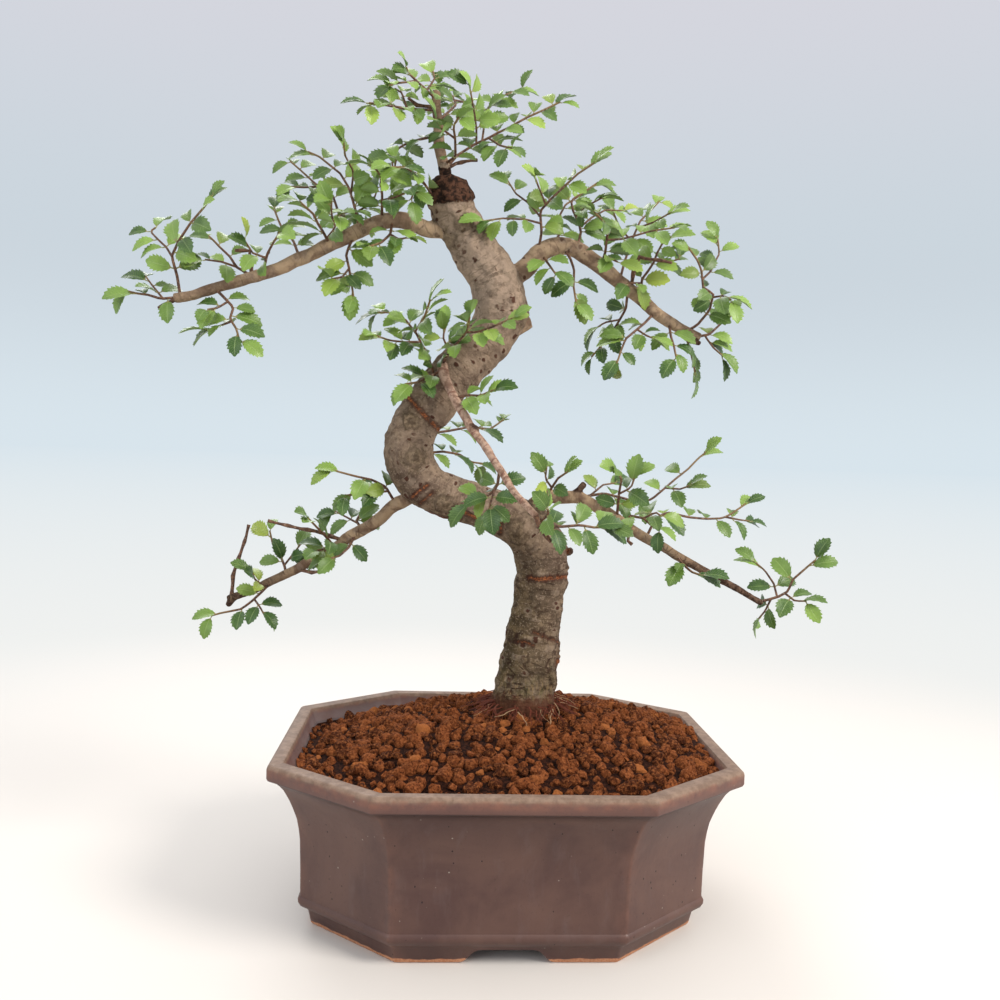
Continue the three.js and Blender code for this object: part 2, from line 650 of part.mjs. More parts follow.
function woodSolid() {
  return joined([
    limbSolid(trunkRun, BARK.trunkSides, BARK.lump),
    ...branchRuns.map((run) => limbSolid(run, BARK.branchSides, BARK.lump)),
    ...stubRuns.map((run) => limbSolid(run, BARK.branchSides)),
    ...deadRuns.map((run) => limbSolid(run, BARK.twigSides)),
  ]);
}

// Leafy sprays: every shoot is laid out first, then the leaves are placed clear of all wood and of
// each other.

const SHOOT = {
  thick: [1.1, 0.7], sideThick: [0.85, 0.6], bare: 0.22, sideBare: 0.2, tip: 4.5, bend: 0.25,
  bead: 1.5, forkWidth: 1.6, startStep: 0.1, startSlack: 0.1,
};

const sprays = Object.entries(SPRAYS).map(([name, spray]) => {
  const main = twigLimb({ ...spray, thick: SHOOT.thick }, limbs[spray.on]);
  const sides = (spray.sides ?? []).map((side) => twigLimb({ ...side, thick: SHOOT.sideThick }, main));
  return {
    name,
    parent: limbs[spray.on],
    shoots: [
      { limb: main, bare: spray.bare ?? SHOOT.bare, leaves: [] },
      ...sides.map((limb) => ({ limb, bare: SHOOT.sideBare, leaves: [] })),
    ],
  };
});

// Points spaced evenly along all wood, each with its radius and the shoot it belongs to.
const woodBeads = [];

function addBeads(run, owner) {
  for (let i = 0; i + 1 < run.length; i += 1) {
    const [a, b] = [run[i], run[i + 1]];
    const count = Math.ceil(a.point.distanceTo(b.point) / SHOOT.bead);
    for (let k = 0; k < count; k += 1) {
      woodBeads.push({
        point: a.point.clone().lerp(b.point, k / count),
        radius: mix(a.radius, b.radius, k / count),
        owner,
      });
    }
  }
}

for (const run of [trunkRun, ...branchRuns, ...stubRuns, ...deadRuns]) addBeads(run, null);
for (const { shoots } of sprays) {
  for (const shoot of shoots) addBeads(cornerRun(shoot.limb), shoot);
}

// Distance along a shoot at each of its points.
function distances(points) {
  const run = [0];
  for (let i = 1; i < points.length; i += 1) run.push(run[i - 1] + points[i].distanceTo(points[i - 1]));
  return run;
}

// The shoot's middle, radius and frame at a distance along it: ahead, up to the light, to the right.
function stationAt(limb, at) {
  const run = distances(limb.points);
  const last = limb.points.length - 2;
  const after = run.findIndex((length) => length > at);
  const index = after < 0 ? last : Math.max(0, after - 1);
  const share = (at - run[index]) / (run[index + 1] - run[index]);
  const step = (i) => limb.points[i + 1].clone().sub(limb.points[i]).normalize();
  const ahead = step(index);
  if (share < 0.5) ahead.lerp(step(Math.max(0, index - 1)), 0.5 - share);
  else ahead.lerp(step(Math.min(last, index + 1)), share - 0.5);
  ahead.normalize();
  const up = LIGHT.clone().addScaledVector(ahead, -LIGHT.dot(ahead)).normalize();
  return {
    point: limb.points[index].clone().lerp(limb.points[index + 1], share),
    radius: mix(limb.radii[index], limb.radii[index + 1], share),
    ahead,
    up,
    right: ahead.clone().cross(up),
  };
}

// A point of a leaf: shares of its length along it and across it, and a height above its middle.
function leafPoint(leaf, along, across, lift) {
  return leaf.base.clone()
    .addScaledVector(leaf.ahead, along * leaf.length)
    .addScaledVector(leaf.side, across * leaf.length)
    .addScaledVector(leaf.face, Math.abs(across) * leaf.length * LEAF.fold + lift);
}

// Four panels and a scatter of points stand for a blade when its distance to others is measured.
function leafPanels(leaf) {
  const [base, tip] = [leafPoint(leaf, 0.08, 0, 0), leafPoint(leaf, 1, 0, 0)];
  const [wide, , high] = LEAF_EDGE;
  return [-1, 1].flatMap((hand) => {
    const low = leafPoint(leaf, wide[0], hand * wide[1], 0);
    const top = leafPoint(leaf, high[0], hand * high[1], 0);
    return [new THREE.Triangle(base, low, top), new THREE.Triangle(base, top, tip)];
  });
}

function leafBeads(leaf) {
  const middle = [0.15, 0.3, 0.5, 0.7, 0.85, 1].map((along) => [along, 0]);
  const half = [
    [0.17, 0.14], [0.26, 0.21], [0.34, 0.28], [0.5, 0.225], [0.6, 0.22], [0.7, 0.21], [0.85, 0.1],
    [0.35, 0.13], [0.6, 0.12],
  ];
  const sides = [-1, 1].flatMap((hand) => half.map(([along, across]) => [along, hand * across]));
  return [...middle, ...sides].map(([along, across]) => leafPoint(leaf, along, across, 0));
}

const placed = [];
const touch = new THREE.Vector3();

function isClear(leaf, shoot) {
  const reach = leaf.length * LEAF.halfReach;
  for (const bead of woodBeads) {
    const room = bead.radius + LEAF.thick / 2 + GAP + LEAF.slack;
    if (bead.point.distanceTo(leaf.middle) > reach + room) continue;
    if (bead.owner === shoot && bead.point.distanceTo(leaf.base) < bead.radius + LEAF.socket) continue;
    for (const panel of leaf.panels) {
      panel.closestPointToPoint(bead.point, touch);
      if (touch.distanceTo(bead.point) < room) return false;
    }
  }
  for (const other of placed) {
    const apart = other.middle.distanceTo(leaf.middle);
    if (apart > reach + other.length * LEAF.halfReach + LEAF.room) continue;
    for (const [beads, panels] of [[leaf.beads, other.panels], [other.beads, leaf.panels]]) {
      for (const panel of panels) {
        for (const bead of beads) {
          panel.closestPointToPoint(bead, touch);
          if (touch.distanceTo(bead) < LEAF.room) return false;
        }
      }
    }
  }
  return true;
}

const draw = seededDraws(LEAF.seed);

function swing(reach) {
  return (draw() * 2 - 1) * reach;
}

// A leaf stands to one side of its shoot, turned a little at random; the last one points ahead.
function drawLeaf(station, at, hand, isLast, loose) {
  const spread = isLast ? LEAF.ahead : LEAF.spread + swing(LEAF.sway);
  const ahead = station.ahead.clone().multiplyScalar(Math.cos(spread))
    .addScaledVector(station.right, hand * Math.sin(spread))
    .add(new THREE.Vector3(swing(loose), swing(loose), swing(loose) - LEAF.droop))
    .normalize();
  const tilt = new THREE.Vector3(swing(LEAF.tilt), swing(LEAF.tilt), swing(LEAF.tilt));
  const face = station.up.clone().add(tilt).addScaledVector(LIGHT, 0.3);
  face.addScaledVector(ahead, -face.dot(ahead)).normalize();
  const leaf = {
    at, hand, isLast, ahead, face, base: station.point, side: face.clone().cross(ahead),
    length: mix(LEAF.shortest, LEAF.longest, draw()),
  };
  leaf.middle = leafPoint(leaf, 0.5, 0, 0);
  leaf.panels = leafPanels(leaf);
  leaf.beads = leafBeads(leaf);
  return leaf;
}

// Whether a blade's widest corners reach back over the stem it grows from, short of its end.
function leansOver(leaf, { point, right, radius }) {
  const [along, across] = LEAF_EDGE[0];
  return !leaf.isLast && [-1, 1].some((hand) => (
    leafPoint(leaf, along, hand * across, 0).sub(point).dot(right) * leaf.hand < radius + GAP));
}

// Leaves sit alternately right and left; one that can't be turned clear is left out.
function placeLeaves(shoot) {
  const whole = distances(shoot.limb.points).at(-1);
  const first = Math.max(whole * shoot.bare, shoot.start) + LEAF.stalk;
  const last = whole - SHOOT.tip;
  const count = Math.max(1, Math.round((last - first) / LEAF.spacing));
  const beside = 0.7 * (LEAF.stalk + SHOOT.forkWidth);
  for (let n = 0; n <= count; n += 1) {
    let at = mix(first, last, n / count);
    for (const fork of shoot.forks ?? []) {
      if (Math.abs(at - fork) < beside) at = fork + (at < fork ? -beside : beside);
    }
    const station = stationAt(shoot.limb, at);
    for (let round = 0; round < LEAF.tries; round += 1) {
      const hand = (n + Math.floor(round / 4)) % 2 === 0 ? 1 : -1;
      const leaf = drawLeaf(station, at, hand, n === count, LEAF.loose + round * LEAF.looser);
      if (leansOver(leaf, station) || !isClear(leaf, shoot)) continue;
      placed.push(leaf);
      shoot.leaves.push(leaf);
      break;
    }
  }
}

// The wood's faces, for measuring how far a shoot starts from its surface.
const wood = woodSolid();

function facesOf(solid) {
  const { vertProperties, triVerts } = solid.getMesh();
  const corner = (index) => new THREE.Vector3().fromArray(vertProperties, 3 * index);
  const faces = [];
  for (let i = 0; i < triVerts.length; i += 3) {
    const [a, b, c] = triVerts.slice(i, i + 3);
    faces.push(new THREE.Triangle(corner(a), corner(b), corner(c)));
  }
  return faces;
}

const woodFaces = facesOf(wood).map((face) => {
  const middle = face.getMidpoint(new THREE.Vector3());
  return { face, middle, reach: middle.distanceTo(face.a) + middle.distanceTo(face.b) };
});

function distanceToWood(point, limit) {
  let least = limit;
  for (const { face, middle, reach } of woodFaces) {
    if (middle.distanceTo(point) > reach + least) continue;
    face.closestPointToPoint(point, touch);
    least = Math.min(least, touch.distanceTo(point));
  }
  return least;
}

// The three corners of a shoot at a distance along it: left, right and under.
function ringAt(limb, at) {
  const { point, radius, up, right } = stationAt(limb, at);
  const corner = (x, y) => (
    point.clone().addScaledVector(right, x * radius).addScaledVector(up, y * radius));
  return [corner(-1, 0.7), corner(1, 0.7), corner(0, -1)];
}

// A main shoot starts a gap away from the wood it grows on: walk in from well outside it.
function startOf(limb, parent) {
  const run = distances(limb.points);
  const root = limb.points[0];
  const girth = Math.max(...parent.radii.map((radius, i) => (
    parent.points[i].distanceTo(root) < 3 * BARK.branchStep ? radius : 0)));
  const isFree = (at) => {
    const ring = ringAt(limb, at);
    const middles = ring.map((corner, k) => corner.clone().lerp(ring[(k + 1) % 3], 0.5));
    return [...ring, ...middles].every((point) => distanceToWood(point, 2) > GAP + SHOOT.startSlack);
  };
  let at = Math.min(run.at(-1) / 2, 2 * girth + 3);
  while (isFree(at) && at > 0) at -= SHOOT.startStep;
  return at + SHOOT.startStep;
}

// How far along a limb its middle line comes nearest to a point, and how far off that is.
function nearestAlong({ points }, point) {
  const run = distances(points);
  let nearest = { off: Infinity };
  for (let i = 0; i + 1 < points.length; i += 1) {
    const line = new THREE.Line3(points[i], points[i + 1]);
    const share = line.closestPointToPointParameter(point, true);
    const off = line.at(share, new THREE.Vector3()).distanceTo(point);
    if (off < nearest.off) nearest = { off, at: mix(run[i], run[i + 1], share) };
  }
  return nearest;
}

// Where a side shoot leaves its main shoot: how far along it, and on which hand.
function forkOf(main, side) {
  const root = side.points[0];
  const at = Math.max(nearestAlong(main.limb, root).at, main.start + SHOOT.forkWidth);
  const away = stationAt(side, 2 * SHOOT.forkWidth).point.clone().sub(root);
  return { at, hand: away.dot(stationAt(main.limb, at).right) > 0 ? 1 : -1 };
}

for (const spray of sprays) {
  const [main, ...sides] = spray.shoots;
  main.start = startOf(main.limb, spray.parent);
  for (const side of sides) {
    side.fork = forkOf(main, side.limb);
    side.start = stationAt(main.limb, side.fork.at).radius + SHOOT.forkWidth;
  }
  main.forks = sides.map((side) => side.fork.at);
  spray.shoots.forEach(placeLeaves);
}

// A side shoot's first ring stands where the main shoot's flank ends, short of the first leaf.
function clearOf(main, side) {
  const limit = Math.min(...side.leaves.map((leaf) => leaf.at)) - LEAF.stalk;
  const isBuried = (at) => {
    const { point, radius } = stationAt(side.limb, at);
    const { off, at: beside } = nearestAlong(main.limb, point);
    return off < radius + stationAt(main.limb, beside).radius + GAP;
  };
  let at = side.start;
  while (at + SHOOT.startStep < limit && isBuried(at)) at += SHOOT.startStep;
  return at;
}

// Joins two rings of corners, of any counts, by a strip that steps along both at an even share.
function strip(points, from, to) {
  const near = points[from[0]];
  const order = to.map((index, j) => ({ j, off: near.distanceTo(points[index]) }));
  const first = order.sort((a, b) => a.off - b.off)[0].j;
  const at = (j) => to[(first + j) % to.length];
  const triangles = [];
  let [i, j] = [0, 0];
  while (i < from.length || j < to.length) {
    const [a, b] = [from[i % from.length], at(j)];
    if ((i + 1) * to.length <= (j + 1) * from.length) {
      i += 1;
      triangles.push([a, from[i % from.length], b]);
    } else {
      j += 1;
      triangles.push([a, at(j), b]);
    }
  }
  return triangles;
}

// A spray in one skin: three-sided stems whose leaves and side shoots grow out of their right and
// left faces. At each leaf or fork two rings stand a little apart, and the face between them opens.
function spraySolid([main, ...sides]) {
  const points = [];
  const triangles = [];
  const add = (point) => points.push(point) - 1;

  function addBlade(leaf, near, far) {
    const lifts = [LEAF.thick / 2, -LEAF.thick / 2];
    const tip = lifts.map((lift) => add(leafPoint(leaf, 1, 0, lift)));
    const edge = (hand) => LEAF_EDGE.map(([along, across]) => (
      lifts.map((lift) => add(leafPoint(leaf, along, hand * across, lift)))));
    triangles.push([tip[0], far[0], near[0]], [tip[1], near[1], far[1]]);
    for (const [line, flip] of [[[near, ...edge(-1), tip], false], [[far, ...edge(1), tip], true]]) {
      const face = (a, b, c) => triangles.push(flip ? [a, c, b] : [a, b, c]);
      for (let i = 0; i + 1 < line.length; i += 1) {
        const [a, b] = [line[i], line[i + 1]];
        if (b !== tip) {
          face(tip[0], a[0], b[0]);
          face(tip[1], b[1], a[1]);
        }
        face(a[0], a[1], b[1]);
        face(a[0], b[1], b[0]);
      }
    }
  }

  function addShoot({ limb, leaves, start }, mouth, forks) {
    const run = distances(limb.points);
    const growths = [...leaves.map((leaf) => ({ at: leaf.at, hand: leaf.hand, leaf })), ...forks];
    const outermost = growths.reduce((far, growth) => (growth.at > far.at ? growth : far), { at: 0 });
    const ends = outermost.leaf?.isLast ? [] : [run.at(-1)];
    const end = ends[0] ?? outermost.at;
    const turn = (i) => limb.points[i].clone().sub(limb.points[i - 1])
      .angleTo(limb.points[i + 1].clone().sub(limb.points[i]));
    const bends = run.slice(1, -1).filter((at, i) => at > start + 2 && at < end && turn(i + 1) > SHOOT.bend
      && growths.every((growth) => Math.abs(growth.at - at) > 2 * LEAF.stalk));
    const stations = [
      ...[start, ...bends, ...ends].map((at) => ({ at })),
      ...growths.flatMap((growth) => {
        const half = (growth.leaf ? LEAF.stalk : SHOOT.forkWidth) / 2;
        return [{ at: growth.at - half, growth }, { at: growth.at + half }];
      }),
    ].sort((a, b) => a.at - b.at);
    const rings = stations.map(({ at }) => ringAt(limb, at).map(add));
    for (let i = 0; i + 1 < rings.length; i += 1) {
      const [low, high] = [rings[i], rings[i + 1]];
      const { growth } = stations[i];
      const open = !growth ? -1 : growth.hand === 1 ? 1 : 2;
      for (let k = 0; k < 3; k += 1) {
        const next = (k + 1) % 3;
        if (k === open) continue;
        triangles.push([low[k], low[next], high[next]], [low[k], high[next], high[k]]);
      }
      if (!growth) continue;
      const corner = growth.hand === 1 ? 1 : 0;
      const [near, far] = growth.hand === 1 ? [low, high] : [high, low];
      if (growth.leaf) addBlade(growth.leaf, [near[corner], near[2]], [far[corner], far[2]]);
      else addShoot(growth.shoot, [near[corner], near[2], far[2], far[corner]], []);
    }
    if (mouth) triangles.push(...strip(points, mouth, rings[0]));
    else triangles.push([rings[0][0], rings[0][2], rings[0][1]]);
    triangles.push(rings.at(-1));
  }

  addShoot(main, null, sides.map((side) => (
    { ...side.fork, shoot: { ...side, start: clearOf(main, side) } })));
  return toSolid(closedGeometry(points, triangles));
}

// Pot

function octagon(halfWidth, z) {
  const inset = POT.halfWidth - halfWidth;
  const halfDepth = POT.halfDepth - inset;
  const front = POT.halfFront - POT.frontPerInset * inset;
  const side = POT.halfSide - POT.sidePerInset * inset;
  return [
    [front, -halfDepth], [halfWidth, -side], [halfWidth, side], [front, halfDepth],
    [-front, halfDepth], [-halfWidth, side], [-halfWidth, -side], [-front, -halfDepth],
  ].map(([x, y]) => new THREE.Vector3(x, y, z));
}

function octagonSolid(levels, shrink = 0) {
  return toSolid(skin(levels.map(([z, halfWidth]) => octagon(halfWidth - shrink, z))));
}

function boxSolid(sizeX, sizeY, sizeZ, x, y, z) {
  return toSolid(new THREE.BoxGeometry(sizeX, sizeY, sizeZ).translate(x, y, z));
}

// An ogee notch that runs right across under the pot, along Y, or along X when turned.
function notchSolid(turned) {
  const { bottom, top, height } = NOTCH;
  const outline = new THREE.Shape();
  outline.moveTo(-bottom, -1);
  outline.lineTo(bottom, -1);
  outline.lineTo(bottom, 0);
  outline.bezierCurveTo(bottom - 5, 0.4, top + 5, height - 0.4, top, height);
  outline.lineTo(-top, height);
  outline.bezierCurveTo(-top - 5, height - 0.4, -bottom + 5, 0.4, -bottom, 0);
  const reach = 2 * POT.halfWidth;
  const settings = { depth: reach, bevelEnabled: false, curveSegments: 3 };
  const geometry = new THREE.ExtrudeGeometry(outline, settings);
  geometry.translate(0, 0, -reach / 2).rotateX(Math.PI / 2);
  if (turned) geometry.rotateZ(Math.PI / 2);
  return toSolid(geometry);
}

function drainSolid(x) {
  const hole = new THREE.CylinderGeometry(DRAIN.radius, DRAIN.radius, 4 * POT.floorTop, DRAIN.sides);
  return toSolid(hole.rotateX(Math.PI / 2).translate(x, 0, 0));
}

function potSolid() {
  const footHalf = POT_OUTER[0][1] - POT.footWall;
  return octagonSolid(POT_OUTER)
    .subtract(octagonSolid(POT_INNER))
    .subtract(octagonSolid([[-1, footHalf], [POT.floorUnder, footHalf]]))
    .subtract(notchSolid(false))
    .subtract(notchSolid(true))
    .subtract(drainSolid(-DRAIN.x))
    .subtract(drainSolid(DRAIN.x));
}

// A square of drainage mesh that lies on the pot's floor, over a drain hole.
function meshSolid(x) {
  const z = POT.floorTop + GAP + MESH.thick / 2;
  const place = (index) => (index - (MESH.holes - 1) / 2) * MESH.pitch;
  let plate = boxSolid(MESH.size, MESH.size, MESH.thick, x, 0, z);
  for (let row = 0; row < MESH.holes; row += 1) {
    for (let column = 0; column < MESH.holes; column += 1) {
      const hole = boxSolid(MESH.hole, MESH.hole, 2 * MESH.thick, x + place(column), place(row), z);
      plate = plate.subtract(hole);
    }
  }
  return plate;
}

// Soil: a block whose top is a mound of granules, cut to the inside of the pot.

function moundHeight(x, y) {
  const offX = (x - SOIL.midX) / SOIL.reachX;
  const offY = (y - SOIL.midY) / SOIL.reachY;
  return SOIL.rim + SOIL.rise * Math.max(0, 1 - offX * offX - offY * offY);
}

function soilSolid() {
  const toss = seededDraws(SOIL.seed);
  const columns = Math.ceil((2 * POT.halfWidth) / SOIL.granule);
  const rows = Math.ceil((2 * POT.halfDepth) / SOIL.granule);
  const startX = -(columns * SOIL.granule) / 2;
  const startY = -(rows * SOIL.granule) / 2;
  const points = [];
  const add = (x, y, z) => points.push(new THREE.Vector3(x, y, z)) - 1;
  const stray = () => (toss() - 0.5) * SOIL.granule * SOIL.jitter;
  const corner = [];
  const floor = [];
  for (let row = 0; row <= rows; row += 1) {
    corner.push([]);
    floor.push([]);
    for (let column = 0; column <= columns; column += 1) {
      const onEdge = row === 0 || column === 0 || row === rows || column === columns;
      const x = startX + column * SOIL.granule + (onEdge ? 0 : stray());
      const y = startY + row * SOIL.granule + (onEdge ? 0 : stray());
      corner[row].push(add(x, y, moundHeight(x, y) - SOIL.lump * 0.6));
      floor[row].push(onEdge ? add(x, y, POT.floorTop - 1) : -1);
    }
  }
  const triangles = [];
  for (let row = 0; row < rows; row += 1) {
    for (let column = 0; column < columns; column += 1) {
      const x = startX + (column + 0.5) * SOIL.granule + stray() * 0.5;
      const y = startY + (row + 0.5) * SOIL.granule + stray() * 0.5;
      const top = add(x, y, moundHeight(x, y) + SOIL.lump * (0.2 + toss()));
      const ring = [
        corner[row][column], corner[row][column + 1], corner[row + 1][column + 1], corner[row + 1][column],
      ];
      ring.forEach((index, k) => triangles.push([index, ring[(k + 1) % 4], top]));
    }
  }
  const wall = (a, b) => {
    const [topA, topB] = [corner[a[0]][a[1]], corner[b[0]][b[1]]];
    const [lowA, lowB] = [floor[a[0]][a[1]], floor[b[0]][b[1]]];
    triangles.push([topA, lowB, topB], [topA, lowA, lowB]);
  };
  const rim = [];
  for (let column = 0; column < columns; column += 1) rim.push([0, column]);
  for (let row = 0; row < rows; row += 1) rim.push([row, columns]);
  for (let column = columns; column > 0; column -= 1) rim.push([rows, column]);
  for (let row = rows; row > 0; row -= 1) rim.push([row, 0]);
  rim.forEach((spot, i) => wall(spot, rim[(i + 1) % rim.length]));
  const middle = add(0, 0, POT.floorTop - 1);
  rim.forEach((spot, i) => {
    const next = rim[(i + 1) % rim.length];
    triangles.push([floor[spot[0]][spot[1]], middle, floor[next[0]][next[1]]]);
  });
  const block = toSolid(closedGeometry(points, triangles));
  const inside = POT_INNER.map(([z, halfWidth], i) => [i === 0 ? z + GAP : z, halfWidth]);
  inside.push([2 * POT.height, POT_INNER.at(-1)[1]]);
  const room = MESH.size + 2 * GAP;
  const pocket = (x) => boxSolid(room, room, 2 * (MESH.thick + GAP), x, 0, POT.floorTop + GAP);
  return block
    .intersect(octagonSolid(inside, GAP))
    .subtract(pocket(-DRAIN.x))
    .subtract(pocket(DRAIN.x))
    .subtract(limbSolid(trunkRun, BARK.trunkSides, BARK.lump, GAP));
}

// The assembled bonsai

const bonsai = new THREE.Group();

function addPiece(name, solid, look) {
  const mesh = new THREE.Mesh(toGeometry(solid), new THREE.MeshStandardMaterial(look));
  mesh.name = name;
  bonsai.add(mesh);
}

addPiece('pot', potSolid(), COLOURS.glaze);
addPiece('mesh_left', meshSolid(-DRAIN.x), COLOURS.plastic);
addPiece('mesh_right', meshSolid(DRAIN.x), COLOURS.plastic);
addPiece('soil', soilSolid(), COLOURS.soil);
addPiece('trunk_and_branches', wood, COLOURS.bark);
for (const spray of sprays) addPiece(`spray_${spray.name}`, spraySolid(spray.shoots), COLOURS.leaf);

// The origin lies midway across and deep, on the surface under the feet.
const box = new THREE.Box3().setFromObject(bonsai);
const middle = box.getCenter(new THREE.Vector3());
for (const mesh of bonsai.children) mesh.position.set(-middle.x, -middle.y, 0);

export default bonsai;
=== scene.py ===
"""A Chinese elm bonsai in a glazed octagonal pot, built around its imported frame."""

import json
import math

import bmesh
import bpy
import numpy as np
from bpy.props import FloatProperty, FloatVectorProperty, IntProperty, PointerProperty
from mathutils import Matrix, Vector, noise
from mathutils.bvhtree import BVHTree

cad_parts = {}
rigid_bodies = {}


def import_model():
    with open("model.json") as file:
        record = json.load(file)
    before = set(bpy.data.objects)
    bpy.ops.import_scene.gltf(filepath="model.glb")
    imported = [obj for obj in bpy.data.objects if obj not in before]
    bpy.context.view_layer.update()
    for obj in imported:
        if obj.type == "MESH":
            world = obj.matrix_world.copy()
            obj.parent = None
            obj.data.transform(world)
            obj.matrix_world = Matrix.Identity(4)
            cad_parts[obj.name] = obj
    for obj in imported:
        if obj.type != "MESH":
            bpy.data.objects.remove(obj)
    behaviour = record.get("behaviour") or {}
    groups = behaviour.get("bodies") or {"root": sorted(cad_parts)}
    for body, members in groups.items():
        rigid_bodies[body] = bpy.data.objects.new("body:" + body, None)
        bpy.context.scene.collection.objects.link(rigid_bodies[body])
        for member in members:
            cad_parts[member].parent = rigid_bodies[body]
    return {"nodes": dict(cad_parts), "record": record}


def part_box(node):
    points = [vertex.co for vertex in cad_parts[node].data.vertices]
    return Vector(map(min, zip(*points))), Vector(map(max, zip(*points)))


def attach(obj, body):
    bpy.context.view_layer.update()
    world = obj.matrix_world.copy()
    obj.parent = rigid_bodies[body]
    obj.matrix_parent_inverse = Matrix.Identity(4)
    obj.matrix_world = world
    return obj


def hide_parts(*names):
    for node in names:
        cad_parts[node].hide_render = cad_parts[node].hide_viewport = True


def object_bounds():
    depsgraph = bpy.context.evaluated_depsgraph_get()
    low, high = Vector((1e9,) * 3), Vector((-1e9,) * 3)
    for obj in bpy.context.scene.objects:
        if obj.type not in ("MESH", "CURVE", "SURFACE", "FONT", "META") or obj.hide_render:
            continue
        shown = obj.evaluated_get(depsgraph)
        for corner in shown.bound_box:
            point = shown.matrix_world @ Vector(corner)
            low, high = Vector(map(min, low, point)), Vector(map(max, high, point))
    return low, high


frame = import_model()
CAD_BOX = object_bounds()

bl_info = {
    "name": "Chinese Elm Bonsai",
    "version": (1, 0, 0),
    "blender": (4, 5, 0),
    "location": "View3D > Sidebar > Bonsai",
    "description": "Builds the pot, soil, trunk and leafy sprays of a Chinese elm bonsai",
    "category": "Add Mesh",
}

# Sizes below are in millimetres, measured from the middle of the pot's foot.
MM = 0.001
POT_LOW, POT_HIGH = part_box("pot")
POT_MIDDLE = np.array(((POT_LOW.x + POT_HIGH.x) / 2, (POT_LOW.y + POT_HIGH.y) / 2, 0.0))

# Routes

# Wood routes are drawn on an upright plane through the trunk, as seen from this eye point:
# (across, up) on the plane, and how far behind it (+) or before it (-) the wood lies.
EYE = np.array((-31.0, -434.0, 202.0))

# The trunk's middle line: across, up, behind, radius.
TRUNK = (
    (8.6, 60, 0, 9), (9, 76, 0, 15), (9.5, 87, 0, 15.4), (9.8, 92, 0, 14.3), (10, 100, 0, 14),
    (11.7, 110, -0.5, 13.7), (13, 122, -1, 12.8), (13.8, 130, -1.5, 11.8), (14.8, 140, -2, 11.7),
    (16, 150, -3, 12.4), (15, 160, -3, 13.2), (8, 170, -4, 12.4), (-3, 175.5, -5, 11),
    (-16, 179.5, -6, 10), (-28.5, 183.5, -6, 10), (-37.5, 187.5, -6, 10.5), (-44, 194, -6, 11),
    (-47, 202, -6, 11.7), (-46.3, 211, -5, 11.7), (-41.5, 221, -4, 11), (-37, 226, -3, 11),
    (-30, 236.5, -2, 11), (-20.5, 246.5, 0, 11.2), (-12, 256, 2, 11.2), (-8, 264.5, 3, 12.4),
    (-7, 270, 3, 12.8), (-8.5, 276, 3, 12.3), (-11, 283, 3, 11.7), (-18, 293, 2, 10.6),
    (-23.5, 301, 2, 10.3), (-29, 310, 1, 10.4), (-31, 316, 0, 10.6), (-31.8, 323, 0, 9.8),
    (-31.8, 326.5, 0, 8.2),
)

# Main branches: depth and radius at their two ends, and the route.
BRANCHES = {
    "leader": ((0, 5), (3, 2.1), (
        (-31, 316), (-33, 325), (-34, 330), (-37, 341), (-37.7, 350), (-39, 360.5), (-39, 365.5))),
    "upperLeft": ((0, -14), (4, 2.2), (
        (-27, 303), (-34, 304), (-41, 304), (-47, 306), (-53, 307.5), (-60, 307), (-72, 302),
        (-78, 298.5), (-85.5, 295), (-94, 290), (-100, 287.5), (-106, 284), (-115.5, 280.5),
        (-127, 276.5), (-132, 275), (-140, 272), (-145.5, 270), (-153.5, 268.5))),
    "upperRight": ((3, 12), (5, 2.4), (
        (-8, 278), (-2, 284), (4, 289), (9, 295), (14, 298), (20, 299.5), (27, 298), (33, 294),
        (40, 289.5), (47, 284), (56.5, 277.5), (63, 272), (69, 268), (77.5, 263.5), (85.5, 260))),
    "lowerRight": ((-4, -14), (3.4, 1.4), (
        (8, 176), (15, 183.5), (17, 185.5), (22, 184.5), (28, 185), (32.5, 184.5), (37.5, 182),
        (44, 179), (49, 176), (58, 170), (65.5, 166), (72, 163), (79.5, 158.5), (86.5, 155),
        (93.5, 151.5), (100.5, 148), (107.5, 144.5), (114.5, 140.5), (120.5, 137.5))),
    "lowerLeft": ((-4, 22), (3.4, 1.8), (
        (-38, 188), (-47, 182), (-54.5, 177.5), (-58, 173.5), (-65.5, 168), (-73.5, 163.5),
        (-79, 158.5), (-89.5, 153), (-95.5, 149), (-102, 145.5), (-108, 142.5), (-114.5, 139),
        (-120.5, 136.5), (-127, 134))),
    "front": ((-8, -66), (2.3, 1.4), (
        (-29, 240), (-33, 243), (-31, 236.5), (-28, 230.5), (-25.5, 226), (-21.5, 220),
        (-18.5, 214.5), (-12.5, 207.5), (-7.5, 200), (-3.5, 194.5), (0.5, 188), (7, 181),
        (12.5, 175.5))),
}

# Cut stubs and knots: the limb, how far back (+) or forward (-) it reaches, radii, route.
STUBS = (
    ("trunk", -4, (3.4, 1.6), ((20, 158), (30, 160))),
    ("trunk", -4, (5, 2.6), ((8, 176), (13, 184))),
    ("trunk", 0, (6, 3.4), ((0, 262), (6.5, 265))),
    ("lowerRight", -2, (1.7, 1.5), ((28, 185), (31.5, 188), (34.5, 191.5))),
    ("lowerLeft", 2, (2, 1.4), ((-125, 135), (-127, 131))),
    ("upperRight", -3, (1.8, 1.2), ((78, 263), (81, 259), (86, 257.5))),
    ("front", -3, (1.9, 1.2), ((-19, 216), (-15.5, 214.5))),
)

